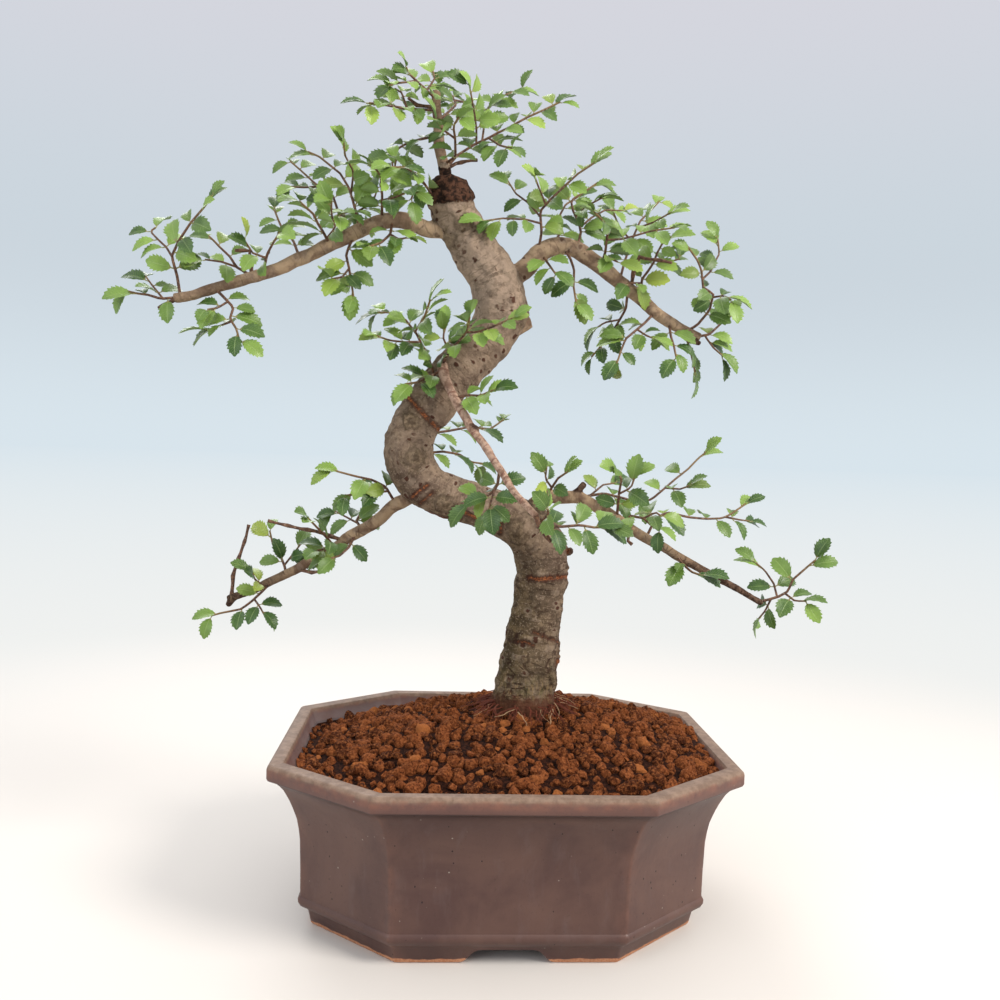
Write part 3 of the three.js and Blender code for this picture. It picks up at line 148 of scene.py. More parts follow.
# Bare dead twigs, in the same order of facts.
DEAD_TWIGS = (
    ("leader", 6, (1, 0.7), ((-34, 331), (-29.5, 334), (-20, 336))),
    ("leader", -8, (1, 0.7), ((-39, 358), (-47.5, 359), (-51.5, 362))),
    ("upperLeft", -6, (1, 0.7), ((-119, 280), (-120.5, 291), (-127, 291))),
    ("upperLeft", 3, (1.1, 0.7), ((-153.5, 267), (-160, 264))),
    ("upperRight", -20, (1, 0.7), ((52, 280), (53.5, 291), (56, 296), (71, 294))),
    ("lowerRight", -4, (1, 0.7), ((56, 171), (55.5, 165), (57.5, 163.5))),
    ("lowerLeft", 5, (1, 0.7), ((-125.5, 135), (-125, 144.5), (-121.5, 155), (-118, 168))),
    ("lowerLeft", -8, (1, 0.7), ((-76, 162), (-85, 165), (-92, 166.5), (-110, 170))),
    ("lowerLeft", -6, (1, 0.7), ((-97, 148.5), (-89.5, 147), (-85, 147.5))),
    ("front", 0, (1, 0.7), ((12.5, 175.5), (14, 170.5), (19.5, 163.5))),
)

# Leafy sprays: the limb each grows on, how far back (+) or forward (-) it reaches, its route, and
# its side shoots as (reach, route). A spray may leave more of its foot bare than the others do.
SPRAYS = {
    "crown_tip": ("leader", -12, ((-39.5, 362), (-48, 369.5), (-52, 373), (-53, 376)), (
        (12, ((-43, 366), (-40, 371), (-41, 375))),
        (-8, ((-48, 369.5), (-57, 368), (-62, 366))))),
    "crown_left": ("leader", -22, (
        (-39, 357), (-50, 357), (-56, 357.5), (-64.5, 358.5), (-72.5, 358.8)), (
        (10, ((-52, 357), (-54.5, 364), (-60, 367))),)),
    "crown_left_low": ("leader", 22, (
        (-37.5, 346), (-47, 343.5), (-53, 341), (-59.5, 336.5), (-65.5, 333.5)), (
        (-10, ((-56, 339), (-58, 333), (-57, 328))),)),
    "crown_back": ("leader", 38, (
        (-38, 352), (-34, 356), (-30, 360), (-32, 364), (-36, 367)), (
        (12, ((-31, 362), (-24, 361), (-17, 358))),)),
    "crown_centre": ("leader", -24, (
        (-35, 333), (-29.6, 337), (-30, 345), (-31, 350.5), (-28.5, 355)), (
        (-8, ((-30, 345), (-36, 349), (-39, 353))),)),
    "crown_right": ("leader", 6, (
        (-34, 331), (-29, 337.5), (-21, 343), (-15, 346), (-11, 348.5), (-7, 350.5), (2, 356),
        (10, 360), (17.5, 364)), (
        (-14, ((-20.5, 343.5), (-20.5, 349.5), (-21.5, 356), (-23, 363), (-24.5, 370))),
        (12, ((-18, 345), (-16.4, 358), (-11, 364), (-5, 367), (0, 368))),
        (-16, ((-15, 346), (-10, 343), (-4, 342))))),
    "collar_left": ("trunk", -20, ((-40, 320), (-46, 328), (-52, 331), (-58, 331)), (
        (-8, ((-45, 326.5), (-48, 320), (-50, 314))),)),
    "upper_left_tip": ("upperLeft", -4, (
        (-151, 269), (-159, 268), (-164.5, 269.5), (-170, 270), (-174.5, 271)), (
        (10, ((-158, 268), (-163, 274), (-166, 278))),)),
    "upper_left_fork": ("upperLeft", -10, (
        (-150.5, 270), (-152, 278.5), (-153.5, 283.5), (-154.5, 287), (-151.5, 294),
        (-146.5, 302), (-140.5, 309.5), (-137, 315)), (
        (12, ((-154.5, 287), (-157, 291), (-160.5, 294), (-164, 297.5), (-159, 301.5))),)),
    "upper_left_rise": ("upperLeft", 10, (
        (-119.5, 280), (-126, 283.5), (-129, 288), (-133.5, 292), (-136.5, 295),
        (-139.5, 297.5)), (
        (-10, ((-126, 283.5), (-132.5, 285.5), (-138, 286), (-144, 286.5))),)),
    "upper_left_mid": ("upperLeft", -14, ((-114.5, 281), (-112.5, 290), (-110, 295), (-107, 300)), (
        (-6, ((-113, 288), (-119, 290), (-123, 296))),)),
    "upper_left_back": ("upperLeft", 26, ((-98, 288.5), (-101, 296), (-107, 303), (-110, 310)), ()),
    "upper_left_hang": ("upperLeft", -16, (
        (-135.5, 273.5), (-132.5, 271), (-129.5, 268), (-127, 265.5), (-128.5, 260.5),
        (-125.5, 256), (-124, 250.5)), (
        (-6, ((-129.5, 268), (-134, 265), (-139, 264))),
        (8, ((-128, 259), (-133, 257), (-138, 255))))),
    "upper_left_front": ("upperLeft", -30, (
        (-85, 295), (-87.5, 300), (-90.5, 304.5), (-92.5, 308.5), (-99, 314)), (
        (-8, ((-86, 298), (-82.5, 303), (-84.5, 309), (-84.5, 316))),)),
    "upper_left_drop": ("upperLeft", -12, (
        (-73, 301), (-76, 295.5), (-77.5, 291), (-76, 285), (-74.5, 277), (-73.5, 271)), (
        (-8, ((-76, 285), (-79, 281), (-84, 280))),)),
    "upper_left_crest": ("upperLeft", 14, (
        (-72.5, 302), (-72.5, 306.5), (-75, 315), (-77, 321), (-81, 327), (-90.5, 334),
        (-96, 336)), (
        (-14, ((-76, 318), (-75, 328), (-79, 335), (-80, 342))),
        (14, ((-73.5, 310), (-66, 315), (-64, 322))),
        (-18, ((-74, 311), (-79, 309.5), (-83, 308))))),
    "upper_left_inner": ("upperLeft", -20, ((-62, 306.5), (-62, 318), (-63, 327), (-67, 332)), (
        (-8, ((-62, 316), (-55, 318), (-50, 321))),
        (8, ((-63, 325), (-57, 330), (-56, 335))))),
    "upper_left_far": ("upperLeft", 34, (
        (-84, 295.5), (-80, 306), (-84, 317), (-92, 322), (-98.5, 327.5), (-103.5, 331.5)), (
        (12, ((-81, 308), (-74, 308), (-69, 305))),
        (-12, ((-90, 321), (-97, 320), (-104, 320))))),
    "upper_left_under": ("upperLeft", -24, ((-57, 307), (-58, 301), (-62, 297), (-68, 295)), (
        (-4, ((-58, 301), (-54, 299), (-50, 300))),)),
    "upper_right_crown": ("upperRight", -12, (
        (9, 295), (10.5, 305), (10, 309.5), (9.5, 314.5), (14, 320), (19.5, 325.5), (26, 332),
        (34.5, 338)), (
        (-10, ((10, 309), (3, 310.5), (-7.5, 310.5), (-15.5, 309))),
        (12, ((10, 312), (4, 318), (-2, 322), (-6, 328))),
        (-8, ((12, 317.5), (9, 324), (6, 331))))),
    "upper_right_back": ("upperRight", 34, (
        (15, 298), (19, 305), (18, 312), (21, 318), (27, 322)), ()),
    "upper_right_crest": ("upperRight", 10, (
        (27, 298), (28.5, 306), (27.5, 310), (24.5, 315.5), (23.5, 320), (30, 324.5), (36, 329)), (
        (12, ((28, 308), (33.5, 313), (39.5, 316.5), (48, 316.5))),
        (-14, ((26, 313), (31, 318), (38, 322))))),
    "upper_right_mid": ("upperRight", -26, (
        (38, 291), (40, 297), (40.5, 303), (41, 308), (38, 312), (34, 315.5)), (
        (-8, ((40.5, 303), (46.5, 303.5), (52, 305), (61, 308), (72, 310))),
        (-8, ((39.5, 296), (44, 294), (49, 292))))),
    "upper_right_far": ("upperRight", 24, (
        (47, 284), (49, 293), (52, 303), (55.5, 312), (64.5, 322)), (
        (10, ((52, 303), (46, 309), (43, 316))),
        (-10, ((54, 309), (62, 312), (70, 317))))),
    "upper_right_stem": ("upperRight", -10, (
        (57, 277.5), (57.5, 286), (60, 289.5), (62.5, 293.5), (64, 298), (66.5, 303), (72, 307)), (
        (-8, ((57.5, 284), (53, 284), (48, 283))),
        (8, ((63, 295), (69, 294), (75, 296))))),
    "upper_right_tall": ("upperRight", -14, (
        (79, 263), (84, 266), (89.5, 273), (91, 280.5), (86, 283.5), (85, 291), (83, 295.5),
        (81, 298), (77, 303)), (
        (10, ((85.5, 287), (89.5, 291), (91, 295), (93, 299), (92, 306))),
        (-6, ((91, 279), (96, 280), (100, 278))))),
    "upper_right_tip": ("upperRight", 4, ((84, 260.5), (90, 262), (95, 267), (100, 271)), (
        (-8, ((88, 261), (92, 256), (97, 252))),)),
    "upper_right_low": ("upperRight", -16, (
        (64, 271), (59.5, 266), (55, 262), (51, 258.5), (49, 253), (47, 246)), (
        (-6, ((56, 263), (60, 260.5), (64, 259))),)),
    "upper_right_hang": ("upperRight", 14, (
        (51, 281), (50.5, 272), (46.5, 264.5), (43, 259), (39.5, 254.5), (35, 249)), (
        (6, ((48, 267), (41, 265.5), (36, 262))),)),
    "upper_right_under": ("upperRight", -12, ((70.5, 267), (72, 260), (73.5, 256), (75, 250)), ()),
    "upper_right_drop": ("upperRight", 16, ((78, 263), (80, 258), (82, 252), (84, 244)), ()),
    "upper_right_thread": ("upperRight", -16, (
        (20, 299), (24, 294), (26, 289), (26, 281.5), (27.5, 273.5)), (), 0.6),
    "upper_right_root": ("upperRight", -14, ((10, 296), (14.5, 290.5), (18, 286)), ()),
    "lower_right_root": ("lowerRight", -10, ((17, 185.5), (19.5, 189.5), (22, 193.5), (27, 197)), (
        (-4, ((19, 189), (16, 193), (16.5, 199))),)),
    "lower_right_top": ("lowerRight", 24, (
        (31, 185), (43.5, 187), (53, 185), (60.5, 183), (66, 185), (70.5, 189), (76.5, 194.5),
        (82.5, 199.5), (87, 204.5), (91, 208)), (
        (8, ((37, 186), (43, 191), (49, 192))),
        (-6, ((72, 190.5), (79, 190), (84, 192))))),
    "lower_right_rise": ("lowerRight", -16, ((50, 175.5), (50.5, 187), (51.5, 194), (47.5, 200)), (
        (-4, ((50.5, 187), (56, 190), (58, 196))),)),
    "lower_right_mid": ("lowerRight", -18, (
        (54, 172.5), (56, 177), (62.5, 176), (66.5, 172.5), (71, 171)), (
        (-4, ((62.5, 176), (68, 179), (74, 175))),)),
    "lower_right_far": ("lowerRight", 14, (
        (64, 167), (68, 176), (73.5, 179), (84, 177), (92, 176.5), (99.5, 177), (103.5, 179),
        (111, 184.5)), (
        (6, ((101, 177.5), (108, 176.5), (113, 176))),)),
    "lower_right_under": ("lowerRight", -12, ((78, 159.5), (82, 155), (86, 151.5), (91, 150)), ()),
    "lower_right_tip": ("lowerRight", -8, (
        (119, 138), (124, 139.5), (128.5, 141), (132.5, 143.5), (134.5, 149), (141, 155),
        (145.5, 159)), (
        (12, ((127.5, 140.5), (125.5, 147), (121, 153), (116, 157))),
        (-12, ((131, 142.5), (136, 139), (142, 139))),
        (10, ((124.5, 139.7), (122, 134), (118, 129))))),
    "lower_left_top": ("lowerLeft", -14, (
        (-52, 179), (-57, 187), (-63, 190), (-71, 191.5), (-81.5, 194)), (
        (-8, ((-56, 185), (-62, 184.5), (-68, 184), (-76, 182.5))),)),
    "lower_left_rise": ("lowerLeft", 14, ((-67, 167), (-70, 171), (-67, 177), (-63, 182)), (
        (8, ((-69.5, 170), (-75, 173), (-81, 176))),)),
    "lower_left_mid": ("lowerLeft", -22, ((-79, 158.5), (-83, 163), (-88, 168), (-92, 172)), (
        (-6, ((-80.5, 160.5), (-84, 158), (-88, 157))),)),
    "lower_left_under": ("lowerLeft", -14, ((-70, 165.5), (-73, 159), (-77, 155), (-83, 153)), ()),
    "lower_left_out": ("lowerLeft", 14, (
        (-101, 146), (-102, 150), (-105, 157), (-107.5, 160), (-109, 166)), (
        (6, ((-102, 150), (-98, 155.5), (-94, 161))),)),
    "lower_left_tip": ("lowerLeft", -12, (
        (-107, 143), (-112, 137.5), (-116.5, 133), (-121, 129.5), (-130, 127.5), (-135, 126)), (
        (-6, ((-115, 134), (-112.5, 130.5), (-110, 126))),
        (-10, ((-110, 139.5), (-115, 143), (-117, 148))))),
    "front_top": ("front", -26, (
        (-33, 243.5), (-30, 249.5), (-26, 254), (-22, 259), (-21, 266)), (
        (-8, ((-22.5, 258.5), (-17, 259), (-10.5, 261.5), (-1, 266))),
        (4, ((-30, 249.5), (-33, 256), (-31.5, 262))))),
    "front_left": ("trunk", -34, (
        (-35, 235), (-39.5, 247), (-45.5, 258), (-41.5, 265), (-39, 273)), (
        (8, ((-44.5, 257), (-50, 263), (-57, 266), (-64, 266))),
        (-8, ((-42, 253.5), (-50, 253), (-57, 253.5), (-65, 256))))),
    "front_low": ("front", -12, ((-32, 242), (-38, 238), (-44, 235), (-50, 234)), ()),
    "front_mid": ("front", -8, ((-27, 228.5), (-21, 230), (-15, 230), (-9, 233)), ()),
    "front_side": ("front", 10, ((-5, 197), (-6, 189), (-9, 185), (-14, 183.5), (-22, 179)), (
        (-6, ((-7, 187.5), (-9, 181), (-10, 176))),)),
    "front_tip": ("front", 4, (
        (11.5, 176.5), (17, 171.5), (24, 171), (33, 172), (40, 171), (47.4, 171.8)), (
        (-6, ((15, 173), (18, 177), (17, 182))),)),
    "back_upper": ("trunk", 40, (
        (-38, 212), (-29, 213.5), (-20, 215.5), (-10, 215), (-4, 219.5)), ()),
    "back_lower": ("trunk", 34, (
        (-39, 203), (-31.5, 204), (-24, 203), (-18, 199.5), (-12, 199)), ()),
}

BARK = {"trunk_step": 10, "branch_step": 14}
# Shoots: radii at both ends, bare shares and ends, and the room that their forks and feet keep.
SHOOT = {
    "thick": (1.1, 0.7), "side_thick": (0.85, 0.6), "bare": 0.22, "side_bare": 0.2, "tip": 4.5,
    "bead": 1.5, "fork": 1.6, "step": 0.1, "slack": 0.1, "gap": 0.3, "start_beyond": 3,
}
# Leaves of the frame: sizes, the room each keeps, and how far each may stray and turn.
LEAF = {
    "shortest": 11.5, "longest": 15, "thick": 0.78, "fold": 0.3, "stalk": 1.2, "spacing": 13,
    "room": 1.15, "slack": 0.1, "socket": 3, "half_reach": 0.58, "spread": 1.1, "sway": 0.25,
    "ahead": 0.35, "droop": 0.15, "tilt": 0.35, "to_light": 0.3, "tries": 16, "loose": 0.12,
    "looser": 0.05, "seed": 7,
}
# A blade's widest corners and those nearer its tip: (along, across), as shares of its length.
LEAF_EDGE = ((0.34, 0.28), (0.7, 0.21))
# Leaves between those of the frame: where they stand closer or wider, and how they differ.
EXTRA = {
    "close": ("crown", "front", "collar"), "close_by": 0.5, "wide": "lower", "wide_by": 4.0,
    "loose": 0.25, "looser": 0.06, "smallest": 0.76, "thick": 0.3, "end": 1, "tip": 1.02,
}
LIGHT = np.array((0, -0.62, 0.78)) / math.hypot(0.62, 0.78)


# Wood in space


def seen(spot, behind):
    """A point of the sketch plane, carried along its line of sight to a depth."""
    reach = (behind - EYE[1]) / -EYE[1]
    across, up = EYE[0] + (spot[0] - EYE[0]) * reach, EYE[2] + (spot[1] - EYE[2]) * reach
    return np.array((across, behind, up))


def length(vector):
    return math.sqrt(float(np.dot(vector, vector)))


def unit(vector):
    return vector / length(vector)


def mix(low, high, share):
    return low + (high - low) * share


def shares(path):
    """Distance along a sketched route at each point, as a share of the whole."""
    steps = [math.dist(a, b) for a, b in zip(path, path[1:])]
    run = np.concatenate(([0.0], np.cumsum(steps)))
    return run / run[-1]


def make_limb(path, behind, radii):
    points = np.array([seen(spot, depth) for spot, depth in zip(path, behind)])
    return {"path": path, "behind": behind, "radii": list(radii), "points": points}


def branch_limb(depth, thick, path):
    share = shares(path)
    return make_limb(path, [mix(*depth, s) for s in share], [mix(*thick, s) for s in share])


def nearest_on(limb, spot):
    """How far a sketched point is from a limb's sketch, its nearest spot, and the depth there."""
    best = None
    path = limb["path"]
    for i in range(len(path) - 1):
        (ax, ay), (bx, by) = path[i], path[i + 1]
        run_x, run_y = bx - ax, by - ay
        along = ((spot[0] - ax) * run_x + (spot[1] - ay) * run_y) / (run_x**2 + run_y**2)
        share = min(1, max(0, along))
        place = (ax + run_x * share, ay + run_y * share)
        off = math.hypot(spot[0] - place[0], spot[1] - place[1])
        if best is None or off < best[0]:
            best = (off, place, mix(limb["behind"][i], limb["behind"][i + 1], share))
    return best


def twig_limb(path, out, thick, parent):
    """A twig starts on the middle line of its limb and leaves the sketch plane evenly."""
    off, place, depth = nearest_on(parent, path[0])
    route = [place, *path] if off > 0.5 else [place, *path[1:]]
    share = shares(route)
    return make_limb(route, [depth + out * s for s in share], [mix(*thick, s) for s in share])


def spline(points, place):
    """A centripetal curve through points, at a place counted in points from the first."""
    last = len(points) - 1
    index = min(int(place), last - 1)
    weight = place - index
    b, c = points[index], points[index + 1]
    a = points[index - 1] if index > 0 else 2 * points[0] - points[1]
    d = points[index + 2] if index + 2 <= last else 2 * points[last] - points[last - 1]
    da, db, dc = (math.sqrt(length(q - p)) for p, q in ((a, b), (b, c), (c, d)))
    db = db if db > 1e-4 else 1.0
    da = da if da > 1e-4 else db
    dc = dc if dc > 1e-4 else db
    leave = ((b - a) / da - (c - a) / (da + db) + (c - b) / db) * db
    arrive = ((c - b) / db - (d - b) / (db + dc) + (d - c) / dc) * db
    square = -3 * b + 3 * c - 2 * leave - arrive
    cube = 2 * b - 2 * c + leave + arrive
    return b + leave * weight + square * weight**2 + cube * weight**3


def smooth_run(limb, step):
    """Middle points and radii about one step apart along a limb's smooth curve."""
    points = limb["points"]
    last = len(points) - 1
    fine = [spline(points, i / 200 * last) for i in range(201)]
    whole = sum(length(b - a) for a, b in zip(fine, fine[1:]))
    count = int(math.floor(whole / step + 0.5))
    run = []
    for i in range(count + 1):
        place = i / count * last
        index = min(last - 1, int(place))
        radius = mix(limb["radii"][index], limb["radii"][index + 1], place - index)
        run.append((spline(points, place), radius))
    return run


def corner_run(limb):
    return list(zip(limb["points"], limb["radii"]))


def distances(points):
    steps = np.linalg.norm(np.diff(points, axis=0), axis=1)
    return np.concatenate(([0.0], np.cumsum(steps)))


def station_at(limb, at):
    """Middle, radius, and the ways ahead, up to the light and right, at a distance along."""
    points, run = limb["points"], limb["run"]
    last = len(points) - 2
    after = np.nonzero(run > at)[0]
    index = int(max(0, after[0] - 1)) if len(after) else last
    share = (at - run[index]) / (run[index + 1] - run[index])

    def step(i):
        return unit(points[i + 1] - points[i])

    ahead = step(index)
    if share < 0.5:
        ahead = mix(ahead, step(max(0, index - 1)), 0.5 - share)
    else:
        ahead = mix(ahead, step(min(last, index + 1)), share - 0.5)
    ahead = unit(ahead)
    up = unit(LIGHT - ahead * np.dot(LIGHT, ahead))
    return {
        "point": mix(points[index], points[index + 1], share),
        "radius": mix(limb["radii"][index], limb["radii"][index + 1], share),
        "ahead": ahead, "up": up, "right": np.cross(ahead, up),
    }


LIMBS = {"trunk": make_limb([t[:2] for t in TRUNK], [t[2] for t in TRUNK], [t[3] for t in TRUNK])}
for branch_name, branch_facts in BRANCHES.items():
    LIMBS[branch_name] = branch_limb(*branch_facts)
STUB_LIMBS = [twig_limb(path, out, thick, LIMBS[on]) for on, out, thick, path in STUBS]
DEAD_LIMBS = [twig_limb(path, out, thick, LIMBS[on]) for on, out, thick, path in DEAD_TWIGS]


# Leaves: laid out as in the frame, each clear of the wood and of the others


def seeded_draws(seed):
    """A generator of even draws between 0 and 1 that are the same on every run."""
    state = seed
    whole = 0xFFFFFFFF
    while True:
        state = (state + 0x6D2B79F5) & whole
        mixed = ((state ^ (state >> 15)) * (state | 1)) & whole
        mixed ^= (mixed + (mixed ^ (mixed >> 7)) * (mixed | 61)) & whole
        yield ((mixed ^ (mixed >> 14)) & whole) / 4294967296


def drawn(toss, low, span):
    """A draw between low and low + span."""
    return low + next(toss) * span


def strayed(toss, span):
    """A draw to either side of nothing."""
    return (next(toss) - 0.5) * span


def leaf_points(leaf, spots, lift=0.0):
    """Points of a leaf from rows of (along, across), as shares of its length."""
    spots = np.asarray(spots, float)
    along, across = spots[:, :1], spots[:, 1:2]
    size = leaf["length"]
    return (
        leaf["base"] + along * size * leaf["ahead"] + across * size * leaf["side"]
        + (np.abs(across) * size * LEAF["fold"] + lift) * leaf["face"]
    )


def leaf_panels():
    wide, high = LEAF_EDGE
    rows = []
    for hand in (-1, 1):
        low, top = (wide[0], hand * wide[1]), (high[0], hand * high[1])
        rows += [(0.08, 0), low, top, (0.08, 0), top, (1, 0)]
    return rows


def leaf_beads():
    middle = [(along, 0) for along in (0.15, 0.3, 0.5, 0.7, 0.85, 1)]
    half = (
        (0.17, 0.14), (0.26, 0.21), (0.34, 0.28), (0.5, 0.225), (0.6, 0.22), (0.7, 0.21),
        (0.85, 0.1), (0.35, 0.13), (0.6, 0.12),
    )
    return middle + [(along, hand * across) for hand in (-1, 1) for along, across in half]


PANEL_SPOTS = leaf_panels()
BEAD_SPOTS = leaf_beads()


def panel_gaps(points, panels):
    """Least distance from each point to each three-cornered panel."""
    p = points[:, None, :]
    a, b, c = panels[None, :, 0], panels[None, :, 1], panels[None, :, 2]

    def edge_gap(start, end):
        run = end - start
        share = np.clip(((p - start) * run).sum(-1) / (run * run).sum(-1), 0, 1)
        return np.linalg.norm(p - start - run * share[..., None], axis=-1)

    gap = np.minimum(np.minimum(edge_gap(a, b), edge_gap(b, c)), edge_gap(c, a))
    normal = np.cross(b - a, c - a)
    normal = normal / np.linalg.norm(normal, axis=-1, keepdims=True)
    inside = np.ones(gap.shape, bool)
    for start, end in ((a, b), (b, c), (c, a)):
        inside &= (np.cross(end - start, p - start) * normal).sum(-1) >= 0
    height = np.abs(((p - a) * normal).sum(-1))
    return np.where(inside, height, gap)


class Foliage:
    """Every shoot with its leaves: first those of the frame, then finer ones between them."""

    def __init__(self, extra_spacing, extra_room):
        self.draws = seeded_draws(LEAF["seed"])
        self.wood = self.wood_surface()
        self.bead_at, self.bead_radius, self.bead_owner = [], [], []
        self.placed = []
        self.sprays = {name: self.make_spray(*facts) for name, facts in SPRAYS.items()}
        self.lay_beads()
        for shoots in self.sprays.values():
            self.fork(shoots)
            for shoot in shoots:
                self.place(shoot)
        self.extra_leaves(extra_spacing, extra_room)

    @staticmethod
    def wood_surface():
        """The frame's wood, for measuring how far a shoot starts from its surface."""
        mesh = frame["nodes"]["trunk_and_branches"].data
        points = [(np.array(v.co) - POT_MIDDLE) / MM for v in mesh.vertices]
        return BVHTree.FromPolygons(points, [tuple(p.vertices) for p in mesh.polygons])

    @staticmethod
    def make_spray(on, out, path, sides, bare=SHOOT["bare"]):
        main = twig_limb(path, out, SHOOT["thick"], LIMBS[on])
        limbs = [main] + [twig_limb(p, o, SHOOT["side_thick"], main) for o, p in sides]
        for limb in limbs:
            limb["run"] = distances(limb["points"])
        return [
            {"limb": limb, "bare": bare if i == 0 else SHOOT["side_bare"], "leaves": [],
             "forks": [], "parent": LIMBS[on]}
            for i, limb in enumerate(limbs)
        ]

    def lay_beads(self):
        """Points spaced evenly along all wood, with radii and the shoot they belong to."""
        runs = [(smooth_run(LIMBS["trunk"], BARK["trunk_step"]), None)]
        runs += [(smooth_run(LIMBS[name], BARK["branch_step"]), None) for name in BRANCHES]
        runs += [(corner_run(limb), None) for limb in STUB_LIMBS + DEAD_LIMBS]
        for shoots in self.sprays.values():
            runs += [(corner_run(shoot["limb"]), shoot) for shoot in shoots]
        for run, owner in runs:
            for (a, radius_a), (b, radius_b) in zip(run, run[1:]):
                count = math.ceil(length(b - a) / SHOOT["bead"])
                for k in range(count):
                    self.bead_at.append(mix(a, b, k / count))
                    self.bead_radius.append(mix(radius_a, radius_b, k / count))
                    self.bead_owner.append(id(owner) if owner else 0)
        self.bead_at = np.array(self.bead_at)
        self.bead_radius = np.array(self.bead_radius)
        self.bead_owner = np.array(self.bead_owner)

    def wood_gap(self, point):
        found = self.wood.find_nearest(Vector(point), 2)
        return 2 if found[3] is None else found[3]

    def start_of(self, limb, parent):
        """How far along a shoot clears the wood it grows on."""
        near = [
            radius for point, radius in corner_run(parent)
            if length(point - limb["points"][0]) < 3 * BARK["branch_step"]
        ]
        at = min(limb["run"][-1] / 2, 2 * max([0, *near]) + SHOOT["start_beyond"])
        while at > 0:
            station = station_at(limb, at)
            ring = [
                station["point"] + (x * station["right"] + y * station["up"]) * station["radius"]
                for x, y in ((-1, 0.7), (1, 0.7), (0, -1))
            ]
            ring += [mix(ring[k], ring[(k + 1) % 3], 0.5) for k in range(3)]
            if any(self.wood_gap(p) <= SHOOT["gap"] + SHOOT["slack"] for p in ring):
                break
            at -= SHOOT["step"]
        return at + SHOOT["step"]

    def fork(self, shoots):
        """Notes where each shoot starts and where side shoots leave the main one."""
        main, *sides = shoots
        main["start"] = self.start_of(main["limb"], main["parent"])
        points, run = main["limb"]["points"], main["limb"]["run"]
        for side in sides:
            root = side["limb"]["points"][0]
            best = (math.inf, 0)
            for i in range(len(points) - 1):
                line = points[i + 1] - points[i]
                share = min(1, max(0, np.dot(root - points[i], line) / np.dot(line, line)))
                off = length(points[i] + line * share - root)
                if off < best[0]:
                    best = (off, mix(run[i], run[i + 1], share))
            side["at"] = max(best[1], main["start"] + SHOOT["fork"])
            side["start"] = station_at(main["limb"], side["at"])["radius"] + SHOOT["fork"]
            main["forks"].append(side["at"])

    def swing(self, reach):
        return (next(self.draws) * 2 - 1) * reach

    def draw_leaf(self, station, is_last, hand, loose):
        spread = LEAF["ahead"] if is_last else LEAF["spread"] + self.swing(LEAF["sway"])
        stray = np.array([self.swing(loose) for _ in range(3)])
        stray[2] -= LEAF["droop"]
        ahead = unit(
            station["ahead"] * math.cos(spread) + station["right"] * hand * math.sin(spread) + stray
        )
        tilt = np.array([self.swing(LEAF["tilt"]) for _ in range(3)])
        face = station["up"] + tilt + LIGHT * LEAF["to_light"]
        face = unit(face - ahead * np.dot(face, ahead))
        leaf = {
            "base": station["point"], "ahead": ahead, "face": face, "side": np.cross(face, ahead),
            "length": mix(LEAF["shortest"], LEAF["longest"], next(self.draws)), "is_last": is_last,
        }
        leaf["middle"] = leaf_points(leaf, [(0.5, 0)])[0]
        leaf["panels"] = leaf_points(leaf, PANEL_SPOTS).reshape(-1, 3, 3)
        leaf["beads"] = leaf_points(leaf, BEAD_SPOTS)
        return leaf

    def is_clear(self, leaf, shoot, room, thick):
        reach = leaf["length"] * LEAF["half_reach"]
        margin = self.bead_radius + thick / 2 + SHOOT["gap"] + LEAF["slack"]
        near = np.linalg.norm(self.bead_at - leaf["middle"], axis=1) <= reach + margin
        own = self.bead_owner == id(shoot)
        from_base = np.linalg.norm(self.bead_at - leaf["base"], axis=1)
        near &= ~(own & (from_base < self.bead_radius + LEAF["socket"]))
        if near.any():
            gaps = panel_gaps(self.bead_at[near], leaf["panels"]).min(axis=1)
            if (gaps < margin[near]).any():
                return False
        for other in self.placed:
            apart = length(other["middle"] - leaf["middle"])
            if apart > reach + other["length"] * LEAF["half_reach"] + room:
                continue
            if panel_gaps(leaf["beads"], other["panels"]).min() < room:
                return False
            if panel_gaps(other["beads"], leaf["panels"]).min() < room:
                return False
        return True

    @staticmethod
    def leans_over(leaf, station, hand):
        """Whether a blade's widest corners reach back over the stem, short of its end."""
        wide = LEAF_EDGE[0]
        corners = leaf_points(leaf, [(wide[0], -wide[1]), wide]) - station["point"]
        reach = (corners @ station["right"]) * hand
        return not leaf["is_last"] and reach.min() < station["radius"] + SHOOT["gap"]

    def place(self, shoot):
        """The frame's leaves sit right and left in turn; one that can't be clear is left out."""
        whole = shoot["limb"]["run"][-1]
        first = max(whole * shoot["bare"], shoot["start"]) + LEAF["stalk"]
        last = whole - SHOOT["tip"]
        count = max(1, math.floor((last - first) / LEAF["spacing"] + 0.5))
        beside = 0.7 * (LEAF["stalk"] + SHOOT["fork"])
        for n in range(count + 1):
            at = mix(first, last, n / count)
            for fork in shoot["forks"]:
                if abs(at - fork) < beside:
                    at = fork + (-beside if at < fork else beside)
            station = station_at(shoot["limb"], at)
            for turn in range(LEAF["tries"]):
                hand = 1 if (n + turn // 4) % 2 == 0 else -1
                loose = LEAF["loose"] + turn * LEAF["looser"]
                leaf = self.draw_leaf(station, n == count, hand, loose)
                if self.leans_over(leaf, station, hand):
                    continue
                if self.is_clear(leaf, shoot, LEAF["room"], LEAF["thick"]):
                    leaf["at"] = at
                    self.placed.append(leaf)
                    shoot["leaves"].append(leaf)
                    break

